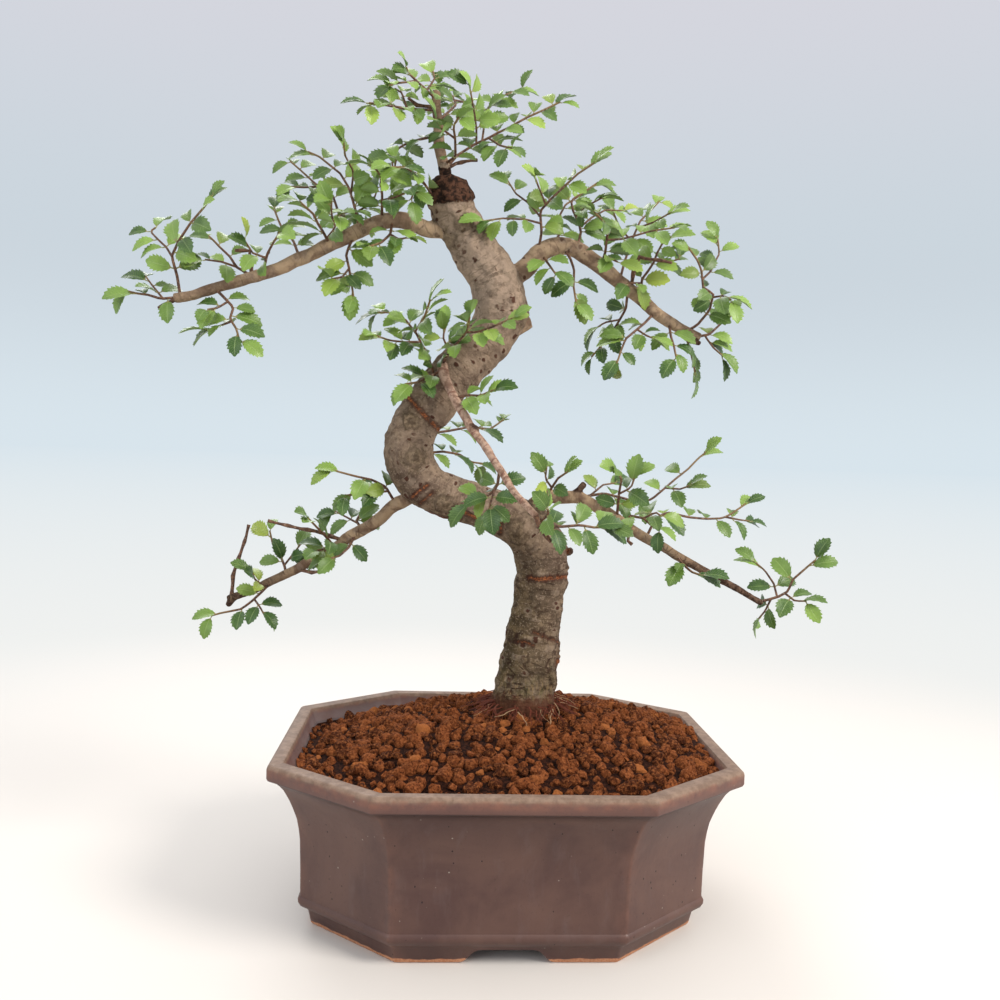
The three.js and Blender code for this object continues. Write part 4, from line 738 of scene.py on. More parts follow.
    def extra_leaves(self, spacing, room):
        """More leaves between those of the frame, inside the frame's box."""
        low, high = (np.array(corner) - POT_MIDDLE for corner in CAD_BOX)
        for name, shoots in self.sprays.items():
            stretch = EXTRA["close_by"] if name.startswith(EXTRA["close"]) else 1.0
            stretch = EXTRA["wide_by"] if name.startswith(EXTRA["wide"]) else stretch
            for shoot in shoots:
                whole = shoot["limb"]["run"][-1]
                first = max(whole * shoot["bare"], shoot["start"]) + LEAF["stalk"]
                last = whole - EXTRA["end"]
                count = max(1, round((last - first) / (spacing * stretch)))
                for n in range(count + 1):
                    at = mix(first, last, n / count)
                    station = station_at(shoot["limb"], at)
                    for turn in range(LEAF["tries"]):
                        hand = 1 if (n + turn) % 2 == 0 else -1
                        loose = EXTRA["loose"] + turn * EXTRA["looser"]
                        leaf = self.draw_leaf(station, n == count, hand, loose)
                        leaf["at"] = at
                        leaf["length"] *= mix(EXTRA["smallest"], 1.0, next(self.draws))
                        tip = leaf_points(leaf, [(EXTRA["tip"], 0)])[0] * MM
                        if (tip < low).any() or (tip > high).any():
                            continue
                        if self.is_clear(leaf, shoot, room, EXTRA["thick"]):
                            self.placed.append(leaf)
                            shoot["leaves"].append(leaf)
                            break


# Meshes


def to_frame(points):
    """Millimetres from the middle of the pot's foot, as metres in the frame."""
    return np.asarray(points, float) * MM + POT_MIDDLE


def link(name, mesh):
    obj = bpy.data.objects.new(name, mesh)
    bpy.context.scene.collection.objects.link(obj)
    return obj


def new_mesh(name, points, faces, edges=()):
    mesh = bpy.data.meshes.new(name)
    mesh.from_pydata(np.asarray(points).tolist(), list(edges), faces)
    mesh.update()
    return mesh


def store(mesh, name, values, kind="FLOAT"):
    """Keeps one value for each point of a mesh under a name that materials and trees can read."""
    field = "vector" if kind == "FLOAT_VECTOR" else "value"
    kept = np.asarray(values, np.int32 if kind == "INT" else np.float32).ravel()
    mesh.attributes.new(name, kind, "POINT").data.foreach_set(field, kept)


def coordinates(mesh):
    points = np.empty(len(mesh.vertices) * 3)
    mesh.vertices.foreach_get("co", points)
    return points.reshape(-1, 3)


def move_points(mesh, points):
    mesh.vertices.foreach_set("co", np.asarray(points).ravel())
    mesh.update()


def settled(obj):
    """Makes a piece's modifiers part of its mesh, and takes them off."""
    graph = bpy.context.evaluated_depsgraph_get()
    whole = bpy.data.meshes.new_from_object(obj.evaluated_get(graph))
    obj.modifiers.clear()
    old, obj.data = obj.data, whole
    whole.name = obj.name
    bpy.data.meshes.remove(old)
    return obj


def soften(mesh, degrees):
    """Smooth shading that stays crisp where faces meet at more than an angle."""
    sheet = bmesh.new()
    sheet.from_mesh(mesh)
    for face in sheet.faces:
        face.smooth = True
    for edge in sheet.edges:
        if len(edge.link_faces) == 2:
            edge.smooth = edge.calc_face_angle(0) < math.radians(degrees)
    sheet.to_mesh(mesh)
    sheet.free()


def loft(rings, start=0):
    """Faces over rings of equally many points, closed by one face at either end."""
    around = len(rings[0])
    faces = []
    for i in range(len(rings) - 1):
        for k in range(around):
            here, there = start + i * around + k, start + i * around + (k + 1) % around
            faces.append((here, there, there + around, here + around))
    faces.append(tuple(start + k for k in reversed(range(around))))
    last = start + (len(rings) - 1) * around
    faces.append(tuple(last + k for k in range(around)))
    return faces


def recalculated(mesh):
    """Turns the faces of closed shells outwards."""
    sheet = bmesh.new()
    sheet.from_mesh(mesh)
    bmesh.ops.recalc_face_normals(sheet, faces=sheet.faces)
    sheet.to_mesh(mesh)
    sheet.free()
    return mesh


def ring_mesh(name, rings):
    """A closed mesh over rings of points in millimetres."""
    points = to_frame([point for ring in rings for point in ring])
    return recalculated(new_mesh(name, points, loft(rings)))


def tube_rings(run, sides):
    """Rings of points round a run of middles and radii, turned as little as they can be."""
    across, rings = None, []
    for i, (point, radius) in enumerate(run):
        along = unit(run[min(len(run) - 1, i + 1)][0] - run[max(0, i - 1)][0])
        if across is None:
            across = np.array((0, 1.0, 0)) if abs(along[1]) < 0.9 else np.array((1.0, 0, 0))
        across = unit(across - along * np.dot(across, along))
        square = np.cross(along, across)
        turns = np.arange(sides) / sides * 2 * math.pi
        ring = point + radius * (np.cos(turns)[:, None] * across + np.sin(turns)[:, None] * square)
        rings.append(ring)
    return rings


# Node trees


class Value:
    """A node's output, on which Python's operators add Math nodes."""

    def __init__(self, sheet, node, output=0):
        self.sheet, self.node = sheet, node
        self.socket = node.outputs[output] if node.outputs else None

    def out(self, output):
        return Value(self.sheet, self.node, output)

    def maths(self, operation, first, second=0.0, clamp=False):
        return self.sheet.add(
            "ShaderNodeMath", {"operation": operation, "use_clamp": clamp}, {0: first, 1: second}
        )

    def __add__(self, other):
        return self.maths("ADD", self, other)

    __radd__ = __add__

    def __sub__(self, other):
        return self.maths("SUBTRACT", self, other)

    def __rsub__(self, other):
        return self.maths("SUBTRACT", other, self)

    def __mul__(self, other):
        return self.maths("MULTIPLY", self, other)

    __rmul__ = __mul__

    def __truediv__(self, other):
        return self.maths("DIVIDE", self, other)

    def __rtruediv__(self, other):
        return self.maths("DIVIDE", other, self)

    def __pow__(self, other):
        return self.maths("POWER", self, other)

    def __abs__(self):
        return self.maths("ABSOLUTE", self)

    def sine(self):
        return self.maths("SINE", self)

    def fraction(self):
        return self.maths("FRACT", self)

    def at_least(self, other):
        return self.maths("MAXIMUM", self, other)

    def held(self):
        """The value held between 0 and 1."""
        return self.maths("ADD", self, 0.0, True)

    def rise(self, low, high):
        """A soft step from 0 to 1 as the value goes from low to high."""
        return self.sheet.add(
            "ShaderNodeMapRange", {"interpolation_type": "SMOOTHSTEP"},
            {"Value": self, "From Min": low, "From Max": high},
        )


class Sheet:
    """A node tree that nodes are added to with their settings and sockets."""

    def __init__(self, tree):
        self.tree = tree

    def add(self, kind, settings=None, sockets=None, output=0):
        node = self.tree.nodes.new(kind)
        for name, value in (settings or {}).items():
            setattr(node, name, value)
        for key, value in (sockets or {}).items():
            if isinstance(value, Value):
                self.tree.links.new(value.socket, node.inputs[key])
            else:
                node.inputs[key].default_value = value
        return Value(self, node, output)

    def blend(self, share, low, high):
        """One colour over another by a share of 0 to 1."""
        mixed = self.add("ShaderNodeMix", {"data_type": "RGBA"})
        for index, value in ((0, share), (6, low), (7, high)):
            socket = mixed.node.inputs[index]
            if isinstance(value, Value):
                self.tree.links.new(value.socket, socket)
            else:
                socket.default_value = value if index == 0 else (*value, 1.0)
        return mixed.out(2)


class Finish(Sheet):
    """A material on one Principled BSDF; place, attribute, noise and bump feed its sockets."""

    def __init__(self, name, **constants):
        self.material = bpy.data.materials.new(name)
        self.material.use_nodes = True
        super().__init__(self.material.node_tree)
        self.tree.nodes.clear()
        self.shader = self.add("ShaderNodeBsdfPrincipled")
        self.shown = self.tree.nodes.new("ShaderNodeOutputMaterial")
        self.show(self.shader)
        self.set(**constants)
        self.place = self.add("ShaderNodeTexCoord").out("Object")

    def set(self, **values):
        """Sets or links the shader's sockets: roughness=0.5 is its Roughness."""
        for name, value in values.items():
            socket = self.shader.node.inputs[name.replace("_", " ").title().replace("Ior", "IOR")]
            if isinstance(value, Value):
                self.tree.links.new(value.socket, socket)
            else:
                socket.default_value = value

    def show(self, shader):
        self.tree.links.new(shader.socket, self.shown.inputs["Surface"])

    def attribute(self, name, output="Fac"):
        return self.add("ShaderNodeAttribute", {"attribute_name": name}).out(output)

    def parts(self, vector):
        split = self.add("ShaderNodeSeparateXYZ", sockets={0: vector})
        return split.out("X"), split.out("Y"), split.out("Z")

    def stretched(self, x, y, z, vector=None):
        """The place scaled by a factor each way, which stretches what is drawn on it."""
        return self.add(
            "ShaderNodeMapping", sockets={"Vector": vector or self.place, "Scale": (x, y, z)}
        )

    def noise(self, size, detail=3.0, rough=0.55, place=None, distortion=0.0):
        """Cloudy values about 0.5 with features of about a size in millimetres."""
        return self.add("ShaderNodeTexNoise", sockets={
            "Vector": place or self.place, "Scale": 1 / (size * MM), "Detail": detail,
            "Roughness": rough, "Distortion": distortion,
        })

    def cells(self, size, feature="F1", place=None):
        """Distances from scattered points about a size in millimetres apart."""
        return self.add(
            "ShaderNodeTexVoronoi", {"feature": feature},
            {"Vector": place or self.place, "Scale": 1 / (size * MM)},
        ).out("Distance")

    def bump(self, height, depth, strength=1.0):
        """Relief of a depth in millimetres where height goes from 0 to 1."""
        self.set(normal=self.add("ShaderNodeBump", sockets={
            "Height": height, "Distance": depth * MM, "Strength": strength,
        }))


class Growth(Sheet):
    """A Geometry Nodes tree with named inputs, grown on a piece and made part of its mesh."""

    def __init__(self, name, inputs):
        tree = bpy.data.node_groups.new(name, "GeometryNodeTree")
        kinds = {"Geometry": "Geometry", **inputs}
        for title, kind in kinds.items():
            tree.interface.new_socket(title, in_out="INPUT", socket_type=f"NodeSocket{kind}")
        tree.interface.new_socket("Geometry", in_out="OUTPUT", socket_type="NodeSocketGeometry")
        super().__init__(tree)
        self.given = self.add("NodeGroupInput").out

    def named(self, name, kind="FLOAT"):
        return self.add("GeometryNodeInputNamedAttribute", {"data_type": kind}, {"Name": name})

    def is_over_half(self, name):
        return self.add(
            "FunctionNodeCompare", {"data_type": "FLOAT", "operation": "GREATER_THAN"},
            {0: self.named(name), 1: 0.5},
        )

    def random(self, sockets, is_vector=False):
        kind = "FLOAT_VECTOR" if is_vector else "FLOAT"
        made = self.add("FunctionNodeRandomValue", {"data_type": kind}, sockets)
        return made if is_vector else made.out(1)

    def times(self, vector, factor):
        return self.add(
            "ShaderNodeVectorMath", {"operation": "SCALE"}, {0: vector, "Scale": factor}
        )

    def finished(self, geometry, title):
        return self.add(
            "GeometryNodeSetMaterial", sockets={"Geometry": geometry, "Material": self.given(title)}
        )

    def ended(self, *parts):
        """Joins the parts and gives them out."""
        both = self.add("GeometryNodeJoinGeometry")
        for part in parts:
            self.tree.links.new(part.socket, both.node.inputs[0])
        self.add("NodeGroupOutput", sockets={"Geometry": both})
        return self

    def grow(self, obj, values):
        """Runs the tree on a piece, its inputs set by the identifiers of their sockets."""
        change = obj.modifiers.new(self.tree.name, "NODES")
        change.node_group = self.tree
        for item in self.tree.interface.items_tree:
            if item.item_type == "SOCKET" and item.in_out == "INPUT" and item.name in values:
                change[item.identifier] = values[item.name]
        settled(obj)


# Finishes


def rgb(colour):
    return tuple(colour)[:3]


# Colours of the glaze beside those that a user sets.
GLAZE = {
    "thin glaze and corner highlight": (0.17, 0.072, 0.045), "shadow line": (0.022, 0.011, 0.01),
    "lip band": (0.14, 0.062, 0.048), "fleck": (0.32, 0.27, 0.22), "pit": (0.01, 0.007, 0.007),
    "haze": (0.18, 0.135, 0.13), "dark lip": (0.135, 0.08, 0.052),
    "fired edge": (0.22, 0.085, 0.05), "clay": (0.42, 0.17, 0.08), "light clay": (0.5, 0.24, 0.13),
}


def glaze_finish(pot):
    """A mottled satin glaze that thins to tan on the lip, lit there by a painted highlight, and
    leaves the foot's edge bare.
    """
    f = Finish("Plum Brown Glaze", specular_ior_level=0.4, coat_weight=0.12, coat_roughness=0.3)
    z = f.parts(f.place)[2] / MM
    rim, inside, corner = f.attribute("rim"), f.attribute("inside"), f.attribute("corner")
    cloud = f.noise(34, 4, 0.6, distortion=0.6)
    flow = f.noise(9, 5, 0.62, f.stretched(1.6, 1.6, 0.45), 0.4)
    grain = f.noise(1.3, 3, 0.7)
    dark, warm = rgb(pot.glaze), rgb(pot.glaze_warm)
    colour = f.blend(cloud.rise(0.3, 0.72), dark, warm)
    colour = f.blend(flow.rise(0.5, 0.8) * 0.3, colour, rgb(pot.glaze_bloom))
    # The corners: lighter where the glaze thins, and a painted highlight down each edge.
    thin = corner * f.noise(9, 4, 0.6).rise(0.32, 0.62)
    colour = f.blend(thin * 0.45, colour, GLAZE["thin glaze and corner highlight"])
    under = z.rise(62, 65.5) * z.rise(67.2, 66.4)
    colour = f.blend(under * 0.6, colour, GLAZE["shadow line"])
    colour = f.blend(z.rise(66.4, 67.2) * 0.5, colour, GLAZE["lip band"])
    colour = f.blend(grain.rise(0.58, 0.75) * 0.35, colour, tuple(0.45 * c for c in dark))
    fleck = f.cells(4.2).rise(0.1, 0.05) * f.noise(11).rise(0.5, 0.6)
    colour = f.blend(fleck * 0.7, colour, GLAZE["fleck"])
    pit = f.cells(5.3, place=f.stretched(1, 1, 0.8)).rise(0.085, 0.05)
    colour = f.blend(pit * 0.8, colour, GLAZE["pit"])
    bloom = inside * f.noise(26, 4, 0.6).rise(0.32, 0.7)
    colour = f.blend(bloom * 0.75, colour, GLAZE["haze"])
    # The lip's top: tan where the glaze thins, made lighter still as a painted highlight.
    worn = (rim + (f.noise(5, 4, 0.65) - 0.5) * 0.4).rise(0.3, 0.7)
    lip = f.blend(f.noise(3.4, 5, 0.65).rise(0.3, 0.7), GLAZE["dark lip"], rgb(pot.lip))
    colour = f.blend(worn, colour, lip)
    fired = rim.rise(0.02, 0.3) * rim.rise(0.99, 0.7) * f.noise(6, 5, 0.65).rise(0.36, 0.66)
    colour = f.blend(fired * 0.5, colour, GLAZE["fired edge"])
    bare = (1.6 + (f.noise(6, 3) - 0.5) * 2.2 - z).rise(-0.25, 0.25)
    clay = f.blend(f.noise(1.1).rise(0.4, 0.6), GLAZE["clay"], GLAZE["light clay"])
    colour = f.blend(bare, colour, clay)
    rough = 0.4 + flow * 0.2 + grain * 0.08 + worn * 0.16 + bare * 0.45 + pit * 0.3
    f.set(base_color=colour, roughness=rough.held())
    f.bump(flow * 0.5 + grain * 0.12 + f.noise(3.2, 2) * 0.3 - pit * 0.7 + fleck * 0.2, 0.16, 0.8)
    return f.material


# Colours of the bark beside those that a user sets.
BARK_TONES = {
    "brown": (0.125, 0.084, 0.06), "bare high up": (0.38, 0.28, 0.205),
    "dark green": (0.05, 0.034, 0.015), "green": (0.13, 0.088, 0.045),
    "speckle": (0.04, 0.026, 0.015), "groove": (0.045, 0.026, 0.016), "fine highlight": (0.36, 0.265, 0.185),
    "dark tan": (0.17, 0.1, 0.062), "tan": (0.42, 0.29, 0.175), "pore edge": (0.32, 0.24, 0.175),
    "pore": (0.05, 0.016, 0.009), "dark knot": (0.05, 0.034, 0.018), "knot": (0.23, 0.165, 0.1),
    "crack": (0.03, 0.014, 0.009), "straw": (0.26, 0.175, 0.08), "foot shade and crust": (0.02, 0.006, 0.004),
    "red foot stain and crust": (0.12, 0.036, 0.018), "scar edge": (0.05, 0.02, 0.013),
    "dark scar": (0.1, 0.03, 0.014), "dark twig": (0.045, 0.024, 0.016),
    "twig": (0.14, 0.084, 0.056), "twig pore": (0.03, 0.012, 0.008),
    "twig node": (0.035, 0.014, 0.009), "dark peach": (0.2, 0.115, 0.08),
    "peach": (0.42, 0.28, 0.205), "peach node": (0.15, 0.05, 0.035),
    "dark cork": (0.012, 0.006, 0.004), "cork": (0.08, 0.036, 0.021),
    "light cork": (0.28, 0.15, 0.085),
}


def bark_finish(wood):
    """Grey elm bark with red-brown pores, ridges, healed wire scars, moss at the foot and painted
    shade on a greener left side.
    """
    f = Finish("Grey Elm Bark", roughness=0.8, specular_ior_level=0.1)
    z = f.parts(f.place)[2] / MM
    girth, scar, cut = f.attribute("girth"), f.attribute("scar"), f.attribute("cut")
    along, crust = f.attribute("along"), f.attribute("crust")
    # Lengths along the limb and round it, so that a pattern can be drawn out either way.
    limb = f.attribute("limb", "Vector")
    left = f.parts(limb)[0] / (girth * MM)
    old = girth.rise(2.4, 5)
    low = z.rise(200, 120)
    patch = f.noise(9, 5, 0.6, distortion=0.5)
    speckle = f.noise(2.6, 5, 0.7, distortion=0.3)
    fine = f.noise(1.0, 4, 0.7)
    ridge = f.noise(2.2, 5, 0.62, f.stretched(0.3, 0.3, 1.25, limb), 0.4)
    high = z.rise(235, 285)
    grey = f.blend(patch.rise(0.36, 0.62), BARK_TONES["brown"], rgb(wood.bark))
    grey = f.blend(high * 0.55, grey, BARK_TONES["bare high up"])
    green = f.blend(patch.rise(0.36, 0.62), BARK_TONES["dark green"], BARK_TONES["green"])
    # Greener low down and on the left side, which turns from the key light: a green film, and on
    # the left painted shade.
    green_film_and_left_shade = low * 0.75 + (left + patch - 0.6) * (1 - high * 0.7) * 0.4
    colour = f.blend(green_film_and_left_shade.held(), grey, green)
    colour = f.blend(speckle.rise(0.53, 0.34) * (0.4 + low * 0.35), colour, BARK_TONES["speckle"])
    colour = f.blend(ridge.rise(0.54, 0.64) * (0.45 + low * 0.35), colour, BARK_TONES["groove"])
    # Fine pale flecks over the bark: painted highlights.
    colour = f.blend(fine.rise(0.52, 0.68) * 0.55, colour, BARK_TONES["fine highlight"])
    # Branches: smoother and tan, against the grey of the trunk.
    slim = girth.rise(8, 5.5)
    tan = f.blend(patch.rise(0.4, 0.6), BARK_TONES["dark tan"], BARK_TONES["tan"])
    colour = f.blend(slim * 0.68, colour, tan)
    moss = z.rise(118, 84) * f.noise(4.5, 4, 0.65).rise(0.46, 0.62)
    colour = f.blend(moss * 0.6, colour, rgb(wood.moss))
    spots = f.cells(4.6, place=f.stretched(0.62, 0.62, 1, limb)) + (fine - 0.5) * 0.16
    some = f.noise(10, 2).rise(0.34, 0.46).at_least(high * 0.8)
    pore = spots.rise(0.22, 0.14) * some
    colour = f.blend(spots.rise(0.4, 0.28) * some * 0.3, colour, BARK_TONES["pore edge"])
    tiny = f.cells(2.6, place=f.stretched(0.7, 0.7, 1, limb)).rise(0.17, 0.1)
    tiny = tiny * f.noise(6, 3).rise(0.5, 0.58)
    big = (f.cells(9, place=f.stretched(0.7, 0.7, 1, limb)) + (fine - 0.5) * 0.12).rise(0.13, 0.08)
    pore = pore.at_least(big).at_least(tiny * 0.8)
    colour = f.blend(pore * 0.9 * old, colour, BARK_TONES["pore"])
    knot = f.attribute("knot")
    rings = ((knot * 11 + patch * 14 + speckle * 5).sine() * 0.5 + 0.5) * fine.rise(0.3, 0.6)
    gnarl = f.blend(rings, BARK_TONES["dark knot"], BARK_TONES["knot"])
    near_knot = (knot + (speckle - 0.5) * 1.6 + (patch - 0.5) * 2.4).rise(1.3, 0.5)
    colour = f.blend(near_knot * 0.6, colour, gnarl)
    crack = f.cells(4.4, "DISTANCE_TO_EDGE", f.stretched(0.5, 0.5, 1.2, limb)).rise(0.09, 0.02)
    crack = crack * f.noise(8, 2).rise(0.46, 0.6) * (0.35 + low * 0.65)
    colour = f.blend(crack * 0.8, colour, BARK_TONES["crack"])
    straw = f.noise(1.3, 4, 0.6, f.stretched(1.6, 1.6, 0.22)).rise(0.52, 0.62) * z.rise(108, 94)
    colour = f.blend(straw * 0.6, colour, BARK_TONES["straw"])
    # Dark red towards the soil: a soil stain, with painted shade where the trunk meets the soil;
    # the crusty bark takes the same dark reds.
    foot_shade_and_crust = (z + (f.noise(3.5, 4, 0.7) - 0.5) * 14).rise(97, 91)
    foot_shade_and_crust = foot_shade_and_crust.at_least(crust * fine.rise(0.35, 0.6))
    colour = f.blend(foot_shade_and_crust * 0.85, colour, f.blend(fine, BARK_TONES["foot shade and crust"], BARK_TONES["red foot stain and crust"]))
    wound = (scar + (f.noise(1.1, 4, 0.7) - 0.5) * 2.6).rise(0.35, -0.35)
    edge = (scar + (f.noise(1.6, 4, 0.65) - 0.5) * 3).rise(1.7, 0.3)
    colour = f.blend(edge * 0.7, colour, BARK_TONES["scar edge"])
    raw = f.blend(
        f.noise(1.1, 3, place=f.stretched(1, 1, 2.4)).rise(0.38, 0.62), BARK_TONES["dark scar"],
        rgb(wood.scar),
    )
    colour = f.blend(wound * f.noise(3, 3).rise(0.34, 0.5) * 0.85, colour, raw)
    thin = f.noise(2.4, 4, 0.6).rise(0.35, 0.65)
    thin = f.blend(thin, BARK_TONES["dark twig"], BARK_TONES["twig"])
    thin = f.blend(pore * 0.7, thin, BARK_TONES["twig pore"])
    node = (along / 11 + f.noise(30, 1) * 2).fraction().rise(0.1, 0.02)
    thin = f.blend(node * 0.6, thin, BARK_TONES["twig node"])
    peach = f.blend(speckle.rise(0.38, 0.6), BARK_TONES["dark peach"], BARK_TONES["peach"])
    peach = f.blend(node.at_least(pore) * 0.6, peach, BARK_TONES["peach node"])
    pale = f.attribute("pale")
    thin = f.blend(pale, thin, peach)
    colour = f.blend(girth.rise(2.6, 1.7).at_least(pale * (1 - old)), colour, thin)
    cork = f.blend(speckle.rise(0.42, 0.6), BARK_TONES["dark cork"], BARK_TONES["cork"])
    cork = f.blend(fine.rise(0.6, 0.72) * patch.rise(0.45, 0.6), cork, BARK_TONES["light cork"])
    colour = f.blend((cut + (speckle - 0.5) * 1.6).rise(0.35, 0.65), colour, cork)
    f.set(base_color=colour, roughness=(0.72 + patch * 0.2).held())
    f.bump(
        ridge * (0.5 + low * 0.5) + fine * 0.5 + speckle * 0.5 + pore * 0.5
        - crack * 0.5 - wound * 0.4 + node * (1 - old) * 0.5,
        0.6, 0.9,
    )
    return f.material


def fibre_finish():
    f = Finish("Root Fibre", roughness=0.8, specular_ior_level=0.2)
    grain = f.noise(2.2, 3)
    f.set(base_color=f.blend(f.attribute("young"), (0.11, 0.026, 0.013), (0.34, 0.22, 0.12)))
    f.bump(grain, 0.1)
    return f.material


def twig_finish():
    """Young shoots: red-brown, greener towards their tips."""
    f = Finish("Red Brown Twig", roughness=0.62, specular_ior_level=0.35)
    young = f.attribute("young")
    grain = f.noise(1.3, 4, 0.6)
    colour = f.blend(grain.rise(0.35, 0.65), (0.05, 0.022, 0.013), (0.17, 0.08, 0.042))
    colour = f.blend(young.rise(0.55, 1.0) * 0.7, colour, (0.2, 0.13, 0.045))
    colour = f.blend(f.cells(2.1).rise(0.22, 0.14) * 0.6, colour, (0.3, 0.22, 0.16))
    f.set(base_color=colour)
    f.bump(grain + f.noise(0.5, 2) * 0.4, 0.18)
    return f.material


# Colours of a leaf beside those that a user sets.
LEAF_TONES = {
    "vein": (0.27, 0.4, 0.12), "rib": (0.36, 0.47, 0.17), "under": (0.2, 0.31, 0.11),
    "stalk": (0.24, 0.2, 0.07), "edge": (0.25, 0.24, 0.06),
}


def leaf_finish(foliage):
    """A satin leaf: pale veins, sunk furrows, a paler underside, tones from leaf to leaf."""
    f = Finish("Elm Leaf", specular_ior_level=0.42)
    across, along, under = f.parts(f.attribute("blade", "Vector"))
    tone, warm = f.attribute("tone"), f.attribute("warm")
    wide = abs(across)
    rib = wide.rise(0.075, 0.02) * (1 - along.rise(0.86, 1.0))
    rows = ((along - wide * 0.22) * 11).fraction()
    vein = abs(rows - 0.5).rise(0.13, 0.03) * wide.rise(1.0, 0.9) * along.rise(0.1, 0.16)
    net = f.cells(0.85, "DISTANCE_TO_EDGE").rise(0.12, 0.02)
    deep, light = rgb(foliage.leaf_dark), rgb(foliage.leaf_light)
    colour = f.blend((tone + (f.noise(5, 3) - 0.5) * 0.5).held(), deep, light)
    # Yellow green for young leaves, and at the listed places also a painted glow of light through
    # the leaves.
    colour = f.blend(warm, colour, rgb(foliage.leaf_young_and_backlit))
    colour = f.blend(vein * 0.22 + net * 0.08, colour, LEAF_TONES["vein"])
    colour = f.blend(rib * 0.34, colour, LEAF_TONES["rib"])
    colour = f.blend(under * 0.55, colour, LEAF_TONES["under"])
    colour = f.blend(along.rise(0.12, 0.05) * 0.8, colour, LEAF_TONES["stalk"])
    edge = wide.rise(0.9, 1.0) * f.noise(6).rise(0.5, 0.7)
    colour = f.blend(edge * 0.4, colour, LEAF_TONES["edge"])
    f.set(base_color=colour, roughness=(0.3 + f.noise(3, 2) * 0.16 + under * 0.2).held())
    f.bump(1 - vein * 0.5 - rib * 0.7 + net * 0.12 + f.noise(0.5, 2) * 0.1, 0.16, 0.7)
    return f.material


def granule_finish(soil):
    """Baked clay crumbs: red-brown, each a little different, rough and pitted."""
    f = Finish("Red Clay Granules", roughness=0.93, specular_ior_level=0.08)
    tone = f.attribute("tone")
    grain = f.noise(1.2, 5, 0.65)
    colour = f.blend(tone.rise(0.0, 0.55), rgb(soil.granule_dark), rgb(soil.granule))
    colour = f.blend(grain.rise(0.45, 0.7) * 0.65, colour, rgb(soil.granule_light))
    colour = f.blend(grain.rise(0.5, 0.32) * 0.85, colour, (0.018, 0.005, 0.003))
    colour = f.blend(tone.rise(0.9, 0.96) * 0.7, colour, (0.36, 0.12, 0.035))
    colour = f.blend(f.noise(0.6, 2).rise(0.6, 0.72) * 0.4, colour, (0.32, 0.13, 0.05))
    f.set(base_color=colour)
    f.bump(grain + f.noise(0.45, 3) * 0.5 + f.cells(1.1) * 0.4, 0.9)
    return f.material


def bed_finish():
    """The dark fine soil between and under the granules, near black as painted shade in the gaps.
    """
    f = Finish("Dark Soil", roughness=1.0, specular_ior_level=0.1)
    grain = f.noise(1.1, 5, 0.7)
    f.set(base_color=f.blend(grain.rise(0.4, 0.65), (0.008, 0.003, 0.002), (0.045, 0.014, 0.007)))
    f.bump(grain, 0.8)
    return f.material


def mesh_finish():
    """Matt black moulded plastic with a fine grain and patches of dust."""
    f = Finish("Drainage Mesh Plastic", specular_ior_level=0.4)
    grain = f.noise(0.7, 4, 0.6)
    dust = f.noise(5, 4).rise(0.5, 0.7)
    black = f.blend(grain, (0.012, 0.012, 0.012), (0.03, 0.03, 0.03))
    f.set(
        base_color=f.blend(dust * 0.5, black, (0.12, 0.06, 0.04)),
        roughness=(0.5 + dust * 0.35).held(),
    )
    f.bump(grain, 0.08)
    return f.material


def floor_finish(stage):
    """A pale floor that takes the room's own colour and glow far from the tree."""
    f = Finish("Pale Floor", roughness=0.7, specular_ior_level=0.3)
    f.set(base_color=(*rgb(stage.floor), 1.0))
    x, y, _ = f.parts(f.place)
    away = (x * x + y * y) ** 0.5
    near = tuple(1.08 * c for c in rgb(stage.floor_far))
    glow = f.add(
        "ShaderNodeEmission",
        sockets={"Color": f.blend(away / (away + 1.5), near, rgb(stage.horizon))},
    )
    f.show(f.add(
        "ShaderNodeMixShader", sockets={0: away.rise(0.25, 0.75), 1: f.shader, 2: glow}
    ))
    return f.material


# Pot


POT_FORM = {
    "half_width": 100, "half_depth": 82.5, "half_front": 54.7, "half_side": 47,
    "front_per_inset": 0.56, "side_per_inset": 0.8, "floor_under": 7, "foot_wall": 9,
    "drain_x": 45, "drain_radius": 7,
}
# Levels of the outer wall from the foot up, then of the inner one from the lip down:
# (height, half width).
POT_OUTER = (
    (0, 81.9), (0.5, 82.3), (6.4, 83.5), (8.2, 84.9), (9.4, 86.6), (11, 87.4), (12.5, 87.5),
    (13.3, 87.1), (13.8, 86.7), (18, 86.7), (25, 86.8), (31, 87.0), (38, 87.2), (43, 87.8),
    (47, 88.5), (50, 89.4), (53, 90.4), (56, 91.5), (58.5, 92.6), (61, 93.8), (63, 95.2),
    (64.6, 96.6), (65.8, 98.2), (66.5, 99.6), (67.4, 100), (71.2, 100), (72.2, 99.7), (72.8, 99.0),
    (73, 98.2),
)
POT_INNER = (
    (73, 94.6), (72.7, 93.9), (71.8, 93.45), (70, 93), (66, 91), (60, 87), (50, 83), (38, 81),
    (14.8, 79), (14, 78.3),
)
NOTCH = {"bottom": 20, "top": 10.5, "height": 5.8, "steps": 12, "below": -2}
DRAIN = {"sides": 32, "levels": (-2, 30)}
# Steps round each corner, its share of thin glaze and painted highlight, and steps along each side.
CORNER_STEPS = 5
CORNER_THIN_GLAZE_AND_HIGHLIGHT = (0.6, 0.9, 1, 1, 0.9, 0.6)
SIDE_STEPS = (10, 16, 10, 20, 10, 16, 10, 20)


